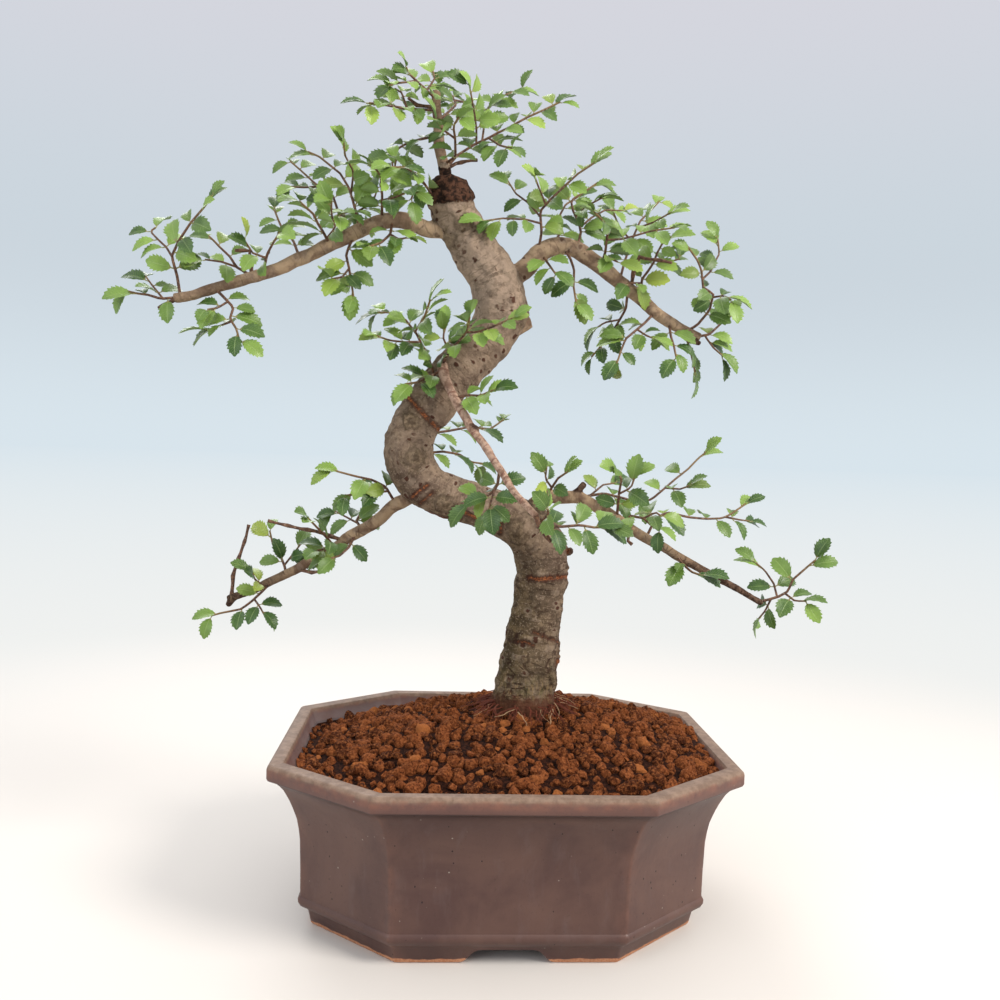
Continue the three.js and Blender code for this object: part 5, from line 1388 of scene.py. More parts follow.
def octagon(half_width, z, corner):
    """The pot's outline at a level, its corners rounded to a radius, its sides in even steps."""
    inset = POT_FORM["half_width"] - half_width
    half_depth = POT_FORM["half_depth"] - inset
    front = POT_FORM["half_front"] - POT_FORM["front_per_inset"] * inset
    side = POT_FORM["half_side"] - POT_FORM["side_per_inset"] * inset
    sharp = np.array((
        (front, -half_depth), (half_width, -side), (half_width, side), (front, half_depth),
        (-front, half_depth), (-half_width, side), (-half_width, -side), (-front, -half_depth),
    ))
    ring = []
    for k in range(8):
        point = sharp[k]
        back, on = unit(sharp[k - 1] - point), unit(sharp[(k + 1) % 8] - point)
        reach = corner / math.tan(math.acos(float(np.dot(back, on))) / 2)
        for share in np.linspace(0, 1, CORNER_STEPS + 1):
            start, end = point + back * reach, point + on * reach
            bend = mix(mix(start, point, share), mix(point, end, share), share)
            if share == 0 and ring:
                last, count = ring[-1], SIDE_STEPS[k - 1]
                ring += [mix(last, bend, n / count) for n in range(1, count)]
            ring.append(bend)
    last, count = ring[-1], SIDE_STEPS[-1]
    ring += [mix(last, ring[0], n / count) for n in range(1, count)]
    return [(x, y, z) for x, y in ring]


def notch_outline():
    """Half an ogee notch: (across, up) from its middle top down to the ground."""
    bottom, top, height = NOTCH["bottom"], NOTCH["top"], NOTCH["height"]
    bends = [(top, height), (top + 5, height - 0.4), (bottom - 5, 0.4), (bottom, 0)]
    curve = []
    for step in range(NOTCH["steps"] + 1):
        s = step / NOTCH["steps"]
        weights = ((1 - s) ** 3, 3 * s * (1 - s) ** 2, 3 * s * s * (1 - s), s**3)
        curve.append(tuple(sum(w * p[i] for w, p in zip(weights, bends)) for i in (0, 1)))
    return curve


def notch_rings(turned):
    """A bar of the notch's outline right through the pot, from side to side if turned."""
    outline = notch_outline() + [(NOTCH["bottom"], NOTCH["below"])]
    outline = outline + [(-x, z) for x, z in reversed(outline)]
    reach = 2 * POT_FORM["half_width"]
    return [
        [(y, x, z) if turned else (x, y, z) for x, z in outline] for y in (-reach, reach)
    ]


def drain_rings(x):
    """A round bar through the pot's floor."""
    radius = POT_FORM["drain_radius"]
    turns = [k / DRAIN["sides"] * 2 * math.pi for k in range(DRAIN["sides"])]
    return [
        [(x + radius * math.cos(t), radius * math.sin(t), z) for t in turns]
        for z in DRAIN["levels"]
    ]


def cut_from(obj, cuts):
    """Takes forms, as names and rings, out of a piece."""
    cutters = [link(name, ring_mesh(name, rings)) for name, rings in cuts.items()]
    for cutter in cutters:
        change = obj.modifiers.new(cutter.name, "BOOLEAN")
        change.operation, change.object, change.solver = "DIFFERENCE", cutter, "EXACT"
    settled(obj)
    for cutter in cutters:
        bpy.data.meshes.remove(cutter.data)


def pot_mesh(corner):
    """One closed skin: from the middle of the underside out, up the wall, over the lip and in."""
    foot_half, floor_under = POT_OUTER[0][1] - POT_FORM["foot_wall"], POT_FORM["floor_under"]
    under = (
        (floor_under, foot_half - 0.5), (floor_under - 0.5, foot_half), (0.4, foot_half),
        (0, foot_half + 0.4),
    )
    levels = [(z, w, 1.5) for z, w in under] + [(z, w, corner) for z, w in POT_OUTER]
    levels += [(z, w, max(0.8, corner - 1)) for z, w in POT_INNER]
    rings = [octagon(w, z, c) for z, w, c in levels]
    mesh = ring_mesh("pot", rings)
    inner_from = (len(under) + len(POT_OUTER)) * len(rings[0])
    z = np.array([p[2] for ring in rings for p in ring])
    store(mesh, "inside", (np.arange(len(z)) >= inner_from) * np.clip((72.5 - z) / 4, 0, 1))
    store(mesh, "rim", np.clip((z - 70) / 2.4, 0, 1))
    # Shares round each corner for the thinner glaze and the painted highlight there.
    worn = [[*CORNER_THIN_GLAZE_AND_HIGHLIGHT] + [0] * (count - 1) for count in SIDE_STEPS]
    store(mesh, "corner", np.tile(np.concatenate(worn), len(rings)))
    return mesh


def make_pot(pot):
    obj = link("pot", pot_mesh(pot.corner / MM))
    cut_from(obj, {
        "notch_front": notch_rings(False), "notch_side": notch_rings(True),
        "drain_left": drain_rings(-POT_FORM["drain_x"]),
        "drain_right": drain_rings(POT_FORM["drain_x"]),
    })
    soften(obj.data, 38)
    return obj


# Soil


# The mound: height at the rim and its rise, its middle, its reach, and how far below its surface
# the bed lies, so that the granules fill the rest. Then the bed's edge and its gap to the wall.
SOIL_FORM = {
    "rim": 68, "rise": 19.5, "mid_x": 12, "mid_y": 5, "reach_x": 100, "reach_y": 80, "lump": 2.8,
    "edge": 91.2, "gap": 0.5, "corner": 2.0, "top_above": 60,
}
MOUND_SHARES = (1.0, 0.96, 0.9, 0.82, 0.74, 0.66, 0.58, 0.5, 0.42, 0.34, 0.26, 0.18, 0.1, 0.04)
# Half widths inside the pot: (height, half width). The bed follows the first few.
POT_ROOM = ((14.3, 79), (38, 81), (50, 83), (60, 87), (66, 91), (70, 93), (80, 93.5))
BED_LEVELS = 5


def mound_height(x, y):
    off_x = (x - SOIL_FORM["mid_x"]) / SOIL_FORM["reach_x"]
    off_y = (y - SOIL_FORM["mid_y"]) / SOIL_FORM["reach_y"]
    return SOIL_FORM["rim"] + SOIL_FORM["rise"] * np.maximum(0, 1 - off_x**2 - off_y**2)


def bed_mesh():
    """The soil under the granules: the pot's room, closed on top by rings that follow the mound."""
    gap, corner = SOIL_FORM["gap"], SOIL_FORM["corner"]
    rings = [octagon(w - gap, z, corner) for z, w in POT_ROOM[:BED_LEVELS]]
    edge = np.array(octagon(SOIL_FORM["edge"] - gap, 0, corner))
    middle = np.array((SOIL_FORM["mid_x"], SOIL_FORM["mid_y"]))
    for share in MOUND_SHARES:
        flat = edge[:, :2] * share + middle * (1 - share)
        z = mound_height(flat[:, 0], flat[:, 1]) - SOIL_FORM["lump"]
        rings.append([(x, y, h) for (x, y), h in zip(flat, z)])
    mesh = ring_mesh("soil", rings)
    store(mesh, "top", coordinates(mesh)[:, 2] / MM > SOIL_FORM["top_above"])
    return mesh


# Granules: how many are tried per square metre, the block each is made of, how near a ball it
# comes, and the lumps on it.
GRANULES = {
    "density": 2.0 / (3.0 * MM) ** 2, "block": 1.7, "roundness": 0.62, "lump_size": 2.6,
    "lump_depth": 3.4,
}


def granule_tree():
    """Scatters crumbs over the bed's top, joins them to it, and gives both their finishes."""
    t = Growth("Granular Soil", {
        "Spacing": "Float", "Smallest": "Float", "Largest": "Float", "Seed": "Int",
        "Granules": "Material", "Bed": "Material",
    })
    bed, seed = t.given("Geometry"), t.given("Seed")
    spots = t.add(
        "GeometryNodeDistributePointsOnFaces", {"distribute_method": "POISSON"},
        {"Mesh": bed, "Selection": t.is_over_half("top"), "Distance Min": t.given("Spacing"),
         "Density Max": GRANULES["density"], "Seed": seed},
    )
    size = t.random({2: 0.0, 3: 1.0, "Seed": seed})
    spread = t.given("Smallest") + size * size * (t.given("Largest") - t.given("Smallest"))
    scale = t.times(t.random({0: (0.75, 0.75, 0.6), 1: (1.3, 1.2, 1.0), "Seed": 11}, True), spread)
    turn = t.random({0: (-0.9, -0.9, 0.0), 1: (0.9, 0.9, 6.28), "Seed": 5}, True)
    block = t.add("GeometryNodeMeshCube", sockets={
        "Size": (GRANULES["block"],) * 3, "Vertices X": 4, "Vertices Y": 4, "Vertices Z": 4,
    })
    corner = t.add("GeometryNodeInputPosition")
    ball = t.add("ShaderNodeVectorMath", {"operation": "NORMALIZE"}, {0: corner})
    rounded = t.add(
        "ShaderNodeMix", {"data_type": "VECTOR"}, {0: GRANULES["roundness"], 4: corner, 5: ball}
    ).out(1)
    crumb = t.add("GeometryNodeSetPosition", sockets={"Geometry": block, "Position": rounded})
    placed = t.add("GeometryNodeInstanceOnPoints", sockets={
        "Points": spots, "Instance": crumb, "Rotation": turn, "Scale": scale,
    })
    toned = t.add(
        "GeometryNodeStoreNamedAttribute", {"data_type": "FLOAT", "domain": "INSTANCE"},
        {"Geometry": placed, "Name": "tone", "Value": t.random({2: 0.0, 3: 1.0, "Seed": 8})},
    )
    whole = t.add("GeometryNodeRealizeInstances", sockets={"Geometry": toned})
    lumps_at = t.add("ShaderNodeTexNoise", sockets={
        "Vector": t.add("GeometryNodeInputPosition"), "Scale": 1 / (GRANULES["lump_size"] * MM),
        "Detail": 2.0, "Roughness": 0.6,
    })
    push = t.times(
        t.add("GeometryNodeInputNormal"), (lumps_at - 0.5) * GRANULES["lump_depth"] * MM
    )
    rough = t.add("GeometryNodeSetPosition", sockets={"Geometry": whole, "Offset": push})
    return t.ended(t.finished(rough, "Granules"), t.finished(bed, "Bed"))


def make_soil(soil):
    obj = link("soil", bed_mesh())
    granule_tree().grow(obj, {
        "Spacing": soil.spacing, "Smallest": soil.smallest, "Largest": soil.largest,
        "Seed": soil.seed, "Granules": granule_finish(soil), "Bed": bed_finish(),
    })
    keep_in_pot(obj.data)
    soften(obj.data, 60)
    return obj


def keep_in_pot(mesh):
    """Crumbs at the edge stay inside the pot's wall."""
    points = (coordinates(mesh) - POT_MIDDLE) / MM
    x, y, z = points.T
    width = np.interp(z, [level[0] for level in POT_ROOM], [level[1] for level in POT_ROOM]) - 0.3
    inset = POT_FORM["half_width"] - width
    depth = POT_FORM["half_depth"] - inset
    points[:, 0] = np.clip(x, -width, width)
    points[:, 1] = np.clip(y, -depth, depth)
    move_points(mesh, to_frame(points))


# Wood


# Healed wounds on the bark: routes on the sketch plane with their half widths, as seen from the
# eye point. A wound marked behind lies on the side turned away from it.
WOUNDS = (
    (((10, 146.6), (14, 146.2), (21, 147), (31, 148)), 0.75, False),
    (((13, 121.5), (18, 119.5), (26, 117)), 0.25, False),
    (((5, 117), (9, 117), (13, 115.5)), 0.3, False),
    (((-48, 228), (-42, 222), (-37, 217), (-33, 213.5)), 0.7, False),
    (((-38, 188.5), (-45.5, 182)), 0.5, False),
    (((-35.5, 185), (-42, 179)), 0.3, False),
    (((-7, 178), (-9, 174), (-12, 170)), 0.5, False),
    (((-3.5, 178), (-4, 167)), 0.35, False),
    (((-37, 175.5), (-30, 173.5), (-23, 173)), 0.4, False),
    (((26, 108), (27, 100), (26, 92), (24, 84)), 1.5, False),
    (((29, 160), (30, 160)), 1.5, False),
    (((-10, 171), (-18, 175), (-25, 178)), 0.6, False),
    (((2, 150), (12, 152), (26, 150)), 1.3, True),
    (((-52, 214), (-42, 208), (-34, 204)), 1.4, True),
    (((-16, 262), (-6, 268), (2, 268)), 1.1, True),
    (((18, 104), (10, 108), (3, 106)), 1.2, True),
    (((-38, 240), (-28, 246)), 0.9, True),
)

# Crusty bark, as routes seen from the eye point.
CRUSTS = (
    ((28, 112), (28, 100), (26, 84)), ((31, 151), (31, 144)), ((-3, 129), (-5, 118)),
    ((-6, 92), (-8, 84), (0, 79)),
)

# Swellings with rings of wrinkles round a closed knot: spot, radius, height, behind or not.
KNOTS = (
    ((-44, 201), 6, 1.6, False), ((-46, 217), 5, 1.3, False), ((-25, 308), 5.5, 1.4, False),
    ((7, 265), 6, 2.0, False), ((-15, 305), 5, 1.2, False), ((4, 168), 7, 1.2, False),
    ((14, 178), 6, 1.0, False), ((-30, 180), 6, 1.3, False), ((22, 99), 7, 1.6, False),
    ((2, 92), 7, 1.4, False), ((-33, 300), 6, 1.2, False), ((-10, 276), 7, 1.2, True),
    ((-44, 200), 7, 1.4, True), ((12, 150), 7, 1.3, True), ((14, 108), 8, 1.4, True),
    ((-36, 312), 5, 1.2, True),
)
# The cut top on the sketch plane, its slope, how thick the wood is there, and its collar.
CUT_TOP = {
    "low": 313, "high": 332, "left": -42, "right": -21, "slope": 0.12, "girth": 6, "collar": 4,
    "fade": 3.5,
}
MARKS = {"no_scar": 20.0, "no_knot": 3.0, "knot_girth": 5, "knot_reach": 2.2}
OLD_BARK = {"below": 175, "fade": 40}
SKIN = {"trunk_step": 2.5, "branch_step": 3, "stub_step": 2}


def tube_mesh(name, runs, sides):
    """Closed tubes round several runs, in one mesh of loose shells."""
    points, faces = [], []
    for run in runs:
        rings = tube_rings(run, sides)
        faces += loft(rings, len(points))
        points += [p for ring in rings for p in ring]
    return recalculated(new_mesh(name, to_frame(points), faces))


def refined(run, step):
    """A run with a point about every step, so that short stubs remesh evenly."""
    out = [run[0]]
    for (a, ra), (b, rb) in zip(run, run[1:]):
        count = max(1, round(length(b - a) / step))
        out += [(mix(a, b, k / count), mix(ra, rb, k / count)) for k in range(1, count + 1)]
    return out


def wood_facts(points, runs):
    """For each point: distance along its limb, angle round it, radius there, and which limb."""
    best = np.full(len(points), np.inf)
    along, around, girth, which = (np.zeros(len(points)) for _ in range(4))
    for number, run in enumerate(runs):
        middles = np.array([p for p, _ in run])
        gone = distances(middles)
        for i, ((a, ra), (b, rb)) in enumerate(zip(run, run[1:])):
            line = b - a
            near = np.linalg.norm(points - (a + b) / 2, axis=1) < length(line) + 2 * max(ra, rb) + 4
            if not near.any():
                continue
            p = points[near]
            share = np.clip((p - a) @ line / np.dot(line, line), 0, 1)
            off = p - a - share[:, None] * line
            reach = np.linalg.norm(off, axis=1)
            radius = mix(ra, rb, share)
            score = reach - radius
            better = score < best[near]
            index = np.nonzero(near)[0][better]
            ahead = unit(line)
            right = unit(np.cross(ahead, (0.13, 0.97, 0.2)))
            over = np.cross(right, ahead)
            best[index] = score[better]
            along[index] = gone[i] + share[better] * length(line)
            around[index] = np.arctan2((off @ over)[better], (off @ right)[better])
            girth[index] = radius[better]
            which[index] = number
    return along, around, girth, which


def on_sketch(points):
    """Where points are seen on the sketch plane from the eye point."""
    reach = EYE[1] / (EYE[1] - points[:, 1])
    return np.stack((
        EYE[0] + (points[:, 0] - EYE[0]) * reach, EYE[2] + (points[:, 2] - EYE[2]) * reach
    ), axis=1)


def route_gap(spots, route):
    """Least distance of each flat spot from a flat route."""
    gap = np.full(len(spots), np.inf)
    for a, b in zip(route, route[1:]):
        a, line = np.array(a, float), np.array(b, float) - np.array(a, float)
        share = np.clip((spots - a) @ line / np.dot(line, line), 0, 1)
        gap = np.minimum(gap, np.linalg.norm(spots - a - share[:, None] * line, axis=1))
    return gap


def lumps(points, size, seed=0.0):
    """Smooth noise between -1 and 1 at each point."""
    return np.array([noise.noise(Vector(p)) for p in points * (1 / size) + seed])


def bark_marks(seen_at, front, girth):
    """Each point's distance from a scar, its swelling, and its distance from a knot."""
    scar = np.full(len(seen_at), MARKS["no_scar"])
    swell, knot = np.zeros(len(seen_at)), np.full(len(seen_at), MARKS["no_knot"])
    for route, half, behind in WOUNDS:
        gap = route_gap(seen_at, route) - half
        scar = np.where(front != behind, np.minimum(scar, gap), scar)
    for spot, radius, height, behind in KNOTS:
        gap = np.linalg.norm(seen_at - np.array(spot), axis=1) / radius
        facing = (front != behind) & (girth > MARKS["knot_girth"])
        ring = np.exp(-gap**2 * 2) + 0.28 * np.cos(gap * 9) * np.exp(-gap**2)
        swell += np.where(facing & (gap < MARKS["knot_reach"]), ring * height, 0)
        knot = np.where(facing, np.minimum(knot, gap), knot)
    return scar, swell, knot


def cut_top(points, seen_at, girth):
    """How much each point is on the cut top, and how far it swells into the collar there."""
    across, up = seen_at.T
    inside = (
        (across > CUT_TOP["left"]) & (across < CUT_TOP["right"]) & (up > CUT_TOP["low"])
        & (up < CUT_TOP["high"]) & (girth > CUT_TOP["girth"])
    )
    rise = up - CUT_TOP["low"] - CUT_TOP["slope"] * (across - CUT_TOP["left"])
    cut = np.clip(rise / CUT_TOP["fade"] + 0.3 * lumps(points, 4.0, 2.0), 0, 1)
    collar = np.exp(-(((rise - CUT_TOP["collar"]) / CUT_TOP["fade"]) ** 2))
    collar = collar * (0.9 + 1.2 * lumps(points, 3.0, 6.0))
    return np.where(inside, cut, 0), np.where(inside, collar, 0)


def bark_relief(points, along, around, girth, bulk):
    """Lumps of three sizes, ridges round the old trunk, and hollows that follow its length."""
    low = np.clip((OLD_BARK["below"] - points[:, 2]) / OLD_BARK["fade"], 0, 1) * bulk
    ridges = lumps(np.stack((around * 2.2, along / 4.2, girth * 0.05), 1), 1.0, 3.0)
    lengthways = np.stack((np.cos(around) * 1.6, along / 26, np.sin(around) * 1.6), 1)
    hollows = np.abs(lumps(lengthways, 1.0, 9.0))
    move = lumps(points, 15) * 1.1 * bulk + lumps(points, 5.5, 5.0) * (0.2 + 0.55 * bulk)
    fine = lumps(points, 2.3, 8.0) * (0.1 + 0.22 * bulk)
    return move + (fine + ridges * low * 0.6 - hollows * bulk * 1.3)


def wood_skin(wood, runs):
    """Closed tubes round the runs, joined in one skin of small faces."""
    obj = link("trunk_and_branches", tube_mesh("wood", runs, 20))
    change = obj.modifiers.new("One Skin", "REMESH")
    change.mode, change.voxel_size, change.adaptivity = "VOXEL", wood.voxel, 0.0
    smooth = obj.modifiers.new("Smooth", "SMOOTH")
    smooth.factor, smooth.iterations = 0.5, 3
    return settled(obj)


def make_wood(wood):
    """Trunk, branches and stubs in one skin, roughened into bark; bare twigs and roots beside."""
    runs = [smooth_run(LIMBS["trunk"], SKIN["trunk_step"])]
    runs += [smooth_run(LIMBS[name], SKIN["branch_step"]) for name in BRANCHES]
    runs += [refined(corner_run(limb), SKIN["stub_step"]) for limb in STUB_LIMBS]
    obj = wood_skin(wood, runs)
    mesh = obj.data
    points = (coordinates(mesh) - POT_MIDDLE) / MM
    normals = np.empty(len(points) * 3)
    mesh.vertices.foreach_get("normal", normals)
    normals = normals.reshape(-1, 3)
    along, around, girth, which = wood_facts(points, runs)
    seen_at = on_sketch(points)
    front = ((EYE - points) * normals).sum(1) > 0
    scar, swell, knot = bark_marks(seen_at, front, girth)
    bulk = np.clip((girth - 2) / 8, 0, 1)
    move = bark_relief(points, along, around, girth, bulk)
    move += swell * 0.8
    move -= np.clip(0.8 - np.abs(scar), 0, 1) * 0.4
    gap = np.min([route_gap(seen_at, route) for route in CRUSTS], axis=0)
    crust = np.where(front, np.clip(1.3 - gap / 3, 0, 1), 0) * bulk
    move += crust * np.clip(lumps(points, 1.5, 4.0) + 0.25, 0, 1) * 2.2
    cut, collar = cut_top(points, seen_at, girth)
    move += collar
    dark_end = np.clip((on_front_end(points) - 0.5) * 2, 0, 1)
    move_points(mesh, to_frame(points + normals * (move * wood.relief)[:, None]))
    limb = np.stack((np.cos(around) * girth, np.sin(around) * girth, along), 1) * MM
    store(mesh, "limb", limb, "FLOAT_VECTOR")
    for name, values in (
        ("along", along), ("girth", girth), ("scar", scar), ("crust", crust), ("knot", knot),
        ("pale", which == 1 + list(BRANCHES).index("front")), ("cut", np.maximum(cut, dark_end)),
    ):
        store(mesh, name, values)
    soften(mesh, 70)
    dead = [crooked(corner_run(limb)) for limb in DEAD_LIMBS]
    twigs = link("bare_twigs", tube_mesh("bare_twigs", dead, 8))
    store(twigs.data, "young", np.zeros(len(twigs.data.vertices)))
    soften(twigs.data, 60)
    return obj, twigs, make_fibres(wood)


# Fibres: above what height the trunk's foot is, how many steps and sides each has, and the ranges
# (least, span) or the whole swing of what is drawn for each.
FIBRES = {
    "seed": 31, "foot": 90, "steps": 8, "sides": 5, "dark": 0.93, "reach": (13.5, 5), "turn": 2.2,
    "lift": (2.2, 2.5), "thick": (0.13, 0.2), "thinner": 0.09, "wander": 0.9,
    "stride": (0.8, 1.3), "wave": 1.2,
}


def make_fibres(wood):
    """Thin roots that lie on the soil round the trunk's foot, a few of them straw-coloured."""
    toss = seeded_draws(FIBRES["seed"])
    trunk = smooth_run(LIMBS["trunk"], SKIN["trunk_step"])
    foot = next(point for point, _ in trunk if point[2] > FIBRES["foot"])
    runs, tones = [], []
    for _ in range(wood.fibres):
        angle = next(toss) * 2 * math.pi
        reach = drawn(toss, *FIBRES["reach"])
        heading, run = angle + strayed(toss, FIBRES["turn"]), []
        spot = foot[:2] + reach * np.array((math.cos(angle), math.sin(angle)))
        lift, thick = drawn(toss, *FIBRES["lift"]), drawn(toss, *FIBRES["thick"])
        for step in range(FIBRES["steps"]):
            ground = float(mound_height(*spot)) + lift * (1 - step / (FIBRES["steps"] + 1))
            run.append((np.array((*spot, ground)), thick * (1 - step * FIBRES["thinner"])))
            heading += strayed(toss, FIBRES["wander"])
            stride = drawn(toss, *FIBRES["stride"])
            spot = spot + stride * np.array((math.cos(heading), math.sin(heading)))
            lift += strayed(toss, FIBRES["wave"])
        runs.append(run)
        tones += [float(next(toss) > FIBRES["dark"])] * (len(run) * FIBRES["sides"])
    obj = link("root_fibres", tube_mesh("root_fibres", runs, FIBRES["sides"]))
    store(obj.data, "young", tones)
    soften(obj.data, 70)
    return obj


def on_front_end(points):
    """How near points are to the cut end of the front branch, from 0 to 1."""
    end = LIMBS["front"]["points"][0]
    return np.clip(1.6 - np.linalg.norm(points - end, axis=1) / 4, 0, 1)


CROOK = {
    "step": 3, "size": 7, "seeds": (0.0, 31.7, 67.3), "sway": 0.5, "every": 3, "node": 1.25,
    "between": 0.9,
}


def crooked(run):
    """A bare twig bent a little along its way, and thickened at its nodes."""
    out = []
    for i, (point, radius) in enumerate(refined(run, CROOK["step"])):
        sway = np.array([lumps(point[None], CROOK["size"], seed)[0] for seed in CROOK["seeds"]])
        girth = CROOK["node"] if i % CROOK["every"] == 0 else CROOK["between"]
        out.append((point + sway * CROOK["sway"], radius * girth))
    return out


# Leafy sprays


# A leaf's outline: half its width, where it is widest, how blunt its ends are, and its teeth.
BLADE = {
    "half": 0.285, "widest": 0.95, "blunt": 0.72, "teeth": 7, "tooth": 0.024, "tooth_at": 0.84,
    "stalk": 0.12,
}
# Rings of a leaf's stalk: distance along it and radius.
STALK = ((0.0, 0.03), (0.07, 0.024), (0.135, 0.022))


def leaf_profile(along):
    """Half the width of a leaf at a share of its length, as a share of that length."""
    body = math.sin(math.pi * min(1, along) ** BLADE["widest"]) ** BLADE["blunt"]
    return BLADE["half"] * body


def leaf_source(variant):
    """One leaf along X, a unit long: a toothed, folded and arched blade on a short stalk."""
    toss = seeded_draws(100 + variant)
    teeth = BLADE["teeth"]
    bend, droop = strayed(toss, 0.22), drawn(toss, 0.06, 0.16)
    wave, fold = drawn(toss, 0.006, 0.012), drawn(toss, 0.16, 0.2)
    lean = strayed(toss, 0.05)
    points, blade, faces = [], [], []

    def add(along, across, lift, share, under=0.0):
        x = BLADE["stalk"] + (1 - BLADE["stalk"]) * along
        y = across + bend * along * along * 0.5
        arch = 0.05 * math.sin(math.pi * along) - droop * along * along
        z = abs(across) * fold + arch + lift + wave * math.sin(along * 17 + across * 20) * share
        points.append((x, y, z))
        blade.append((math.copysign(share, across), along, under))
        return len(points) - 1

    def quad(ring, hand, down):
        ring = list(dict.fromkeys(ring))
        if len(ring) > 2:
            faces.append(tuple(reversed(ring)) if (hand > 0) != down else tuple(ring))

    ribs = [(add(n / teeth, 0.0, 0.006, 0.0), add(n / teeth, 0.0, -0.02, 0.0, 1.0))
            for n in range(1, teeth)]
    root, tip = add(0.0, 0.0, -0.008, 0.0), add(1.0, 0.0, 0.0, 0.0)
    rib = [[root] + [pair[side] for pair in ribs] + [tip] for side in (0, 1)]
    for hand in (-1, 1):
        inner = [[root], [root]]
        notch, point = [root], []
        for n in range(teeth):
            along = n / teeth + (lean * hand) * (1 - n / teeth)
            if n:
                width = leaf_profile(max(0.02, along))
                forward = min(0.97, along + width * 0.14)
                inner[0].append(add(forward, hand * width * 0.52, 0.02, 0.52))
                inner[1].append(add(forward, hand * width * 0.52, 0.008, 0.52, 1.0))
                notch.append(add(min(0.975, along + width * 0.2), hand * width * 0.85, 0.0, 0.9))
            ahead = n / teeth + BLADE["tooth_at"] / teeth
            width = leaf_profile(ahead)
            reach = hand * (width + BLADE["tooth"] * min(1, 6 * (1 - ahead)))
            point.append(add(min(0.985, ahead + width * 0.34), reach, 0.004, 1.0))
        for side in (0, 1):
            inner[side].append(tip)
        notch.append(tip)
        for n in range(teeth):
            edge = [notch[n + 1], point[n], notch[n]]
            for side in (0, 1):
                quad([inner[side][n], inner[side][n + 1], *edge], hand, side == 1)
                middle, beside = rib[side], inner[side]
                quad([middle[n], middle[n + 1], beside[n + 1], beside[n]], hand, side == 1)
    stalk = len(points)
    for x, size in STALK:
        for turn in range(4):
            angle = turn * math.pi / 2
            points.append((x, math.cos(angle) * size, math.sin(angle) * size - 0.01))
            blade.append((0.0, 0.0, 0.0))
    faces += loft([points[stalk + 4 * k: stalk + 4 * k + 4] for k in range(len(STALK))], stalk)
    name = f"leaf_shape_{variant}"
    mesh = new_mesh(name, points, faces)
    recalculated(mesh)
    store(mesh, "blade", blade, "FLOAT_VECTOR")
    soften(mesh, 50)
    return link(name, mesh)


TWIG_SIDES = 7


def spray_tree(leaf_shapes):
    """Twigs along the edges of a mesh, and a leaf on each of its loose points."""
    t = Growth("Leafy Spray", {
        "Twig Thickness": "Float", "Leaf Size": "Float", "Leaf Finish": "Material",
        "Twig Finish": "Material",
    })
    parted = t.add(
        "GeometryNodeSeparateGeometry", {"domain": "POINT"},
        {"Geometry": t.given("Geometry"), "Selection": t.is_over_half("is_leaf")},
    )
    lines = t.add("GeometryNodeMeshToCurve", sockets={"Mesh": parted.out("Inverted")})
    outline = t.add(
        "GeometryNodeCurvePrimitiveCircle", {"mode": "RADIUS"},
        {"Resolution": TWIG_SIDES, "Radius": 1.0},
    )
    stems = t.add("GeometryNodeCurveToMesh", sockets={
        "Curve": lines, "Profile Curve": outline, "Fill Caps": True,
        "Scale": t.named("thick") * t.given("Twig Thickness"),
    })
    stems = t.finished(stems, "Twig Finish")
    shapes = t.add(
        "GeometryNodeCollectionInfo", {"transform_space": "RELATIVE"},
        {"Collection": leaf_shapes, "Separate Children": True, "Reset Children": True},
    )
    leaves = t.add("GeometryNodeInstanceOnPoints", sockets={
        "Points": parted, "Instance": shapes, "Pick Instance": True,
        "Instance Index": t.named("kind", "INT"), "Rotation": t.named("turn", "QUATERNION"),
        "Scale": t.named("size") * t.given("Leaf Size"),
    })
    leaves = t.add("GeometryNodeRealizeInstances", sockets={"Geometry": leaves})
    return t.ended(stems, t.finished(leaves, "Leaf Finish"))


# Places of yellow-green leaves, young and painted as lit from behind, as seen on the sketch plane.
YOUNG_AND_BACKLIT_AT = (
    (-35.5, 328), (-126, 302), (50, 322), (64, 286), (142, 157), (-112, 161), (11.5, 187.5),
    (-113, 142),
)


# Tones of leaves: the darkest, what height (painted light from above) and chance add, and how near
# a place of young, backlit leaves or how rare a draw makes a leaf yellow.
TONES = {
    "dark": 0.1, "low": 120, "rise": 250, "painted_light_by_height": 0.35, "middle": 0.4, "chance": 0.95,
    "near": 5, "young": 0.85, "rare": 0.86, "warmth": 3,
}


def leaf_tones(leaf, toss):
    """Light and dark from leaf to leaf, paler high up as painted light from above, and how yellow
    each is.
    """
    middle = leaf["middle"]
    spot = on_sketch(middle[None])[0]
    height = (middle[2] - TONES["low"]) / TONES["rise"]
    # Higher leaves are lighter: painted light from above.
    tone = TONES["dark"] + TONES["painted_light_by_height"] * height
    tone += (next(toss) - TONES["middle"]) * TONES["chance"]
    is_young_and_backlit = min(math.dist(spot, place) for place in YOUNG_AND_BACKLIT_AT) < TONES["near"]
    warm = TONES["young"] if is_young_and_backlit else max(0.0, next(toss) - TONES["rare"]) * TONES["warmth"]
    return min(1, max(0, tone)), warm


TWIG = {"step": 2.2, "past_leaf": 0.4, "least": 0.5}


def shoot_run(shoot):
    """A shoot's middle line in short steps, as far as its last leaf: (point, radius, share)."""
    limb = shoot["limb"]
    whole = limb["run"][-1]
    last = max([leaf["at"] for leaf in shoot["leaves"]] + [0.0])
    end = last + TWIG["past_leaf"] if last > whole * TWIG["least"] else whole
    count = max(2, round(end / TWIG["step"]))
    run = []
    for n in range(count + 1):
        at = end * n / count
        station = station_at(limb, min(at, whole - 1e-6))
        run.append((station["point"], station["radius"], at / whole))
    return run


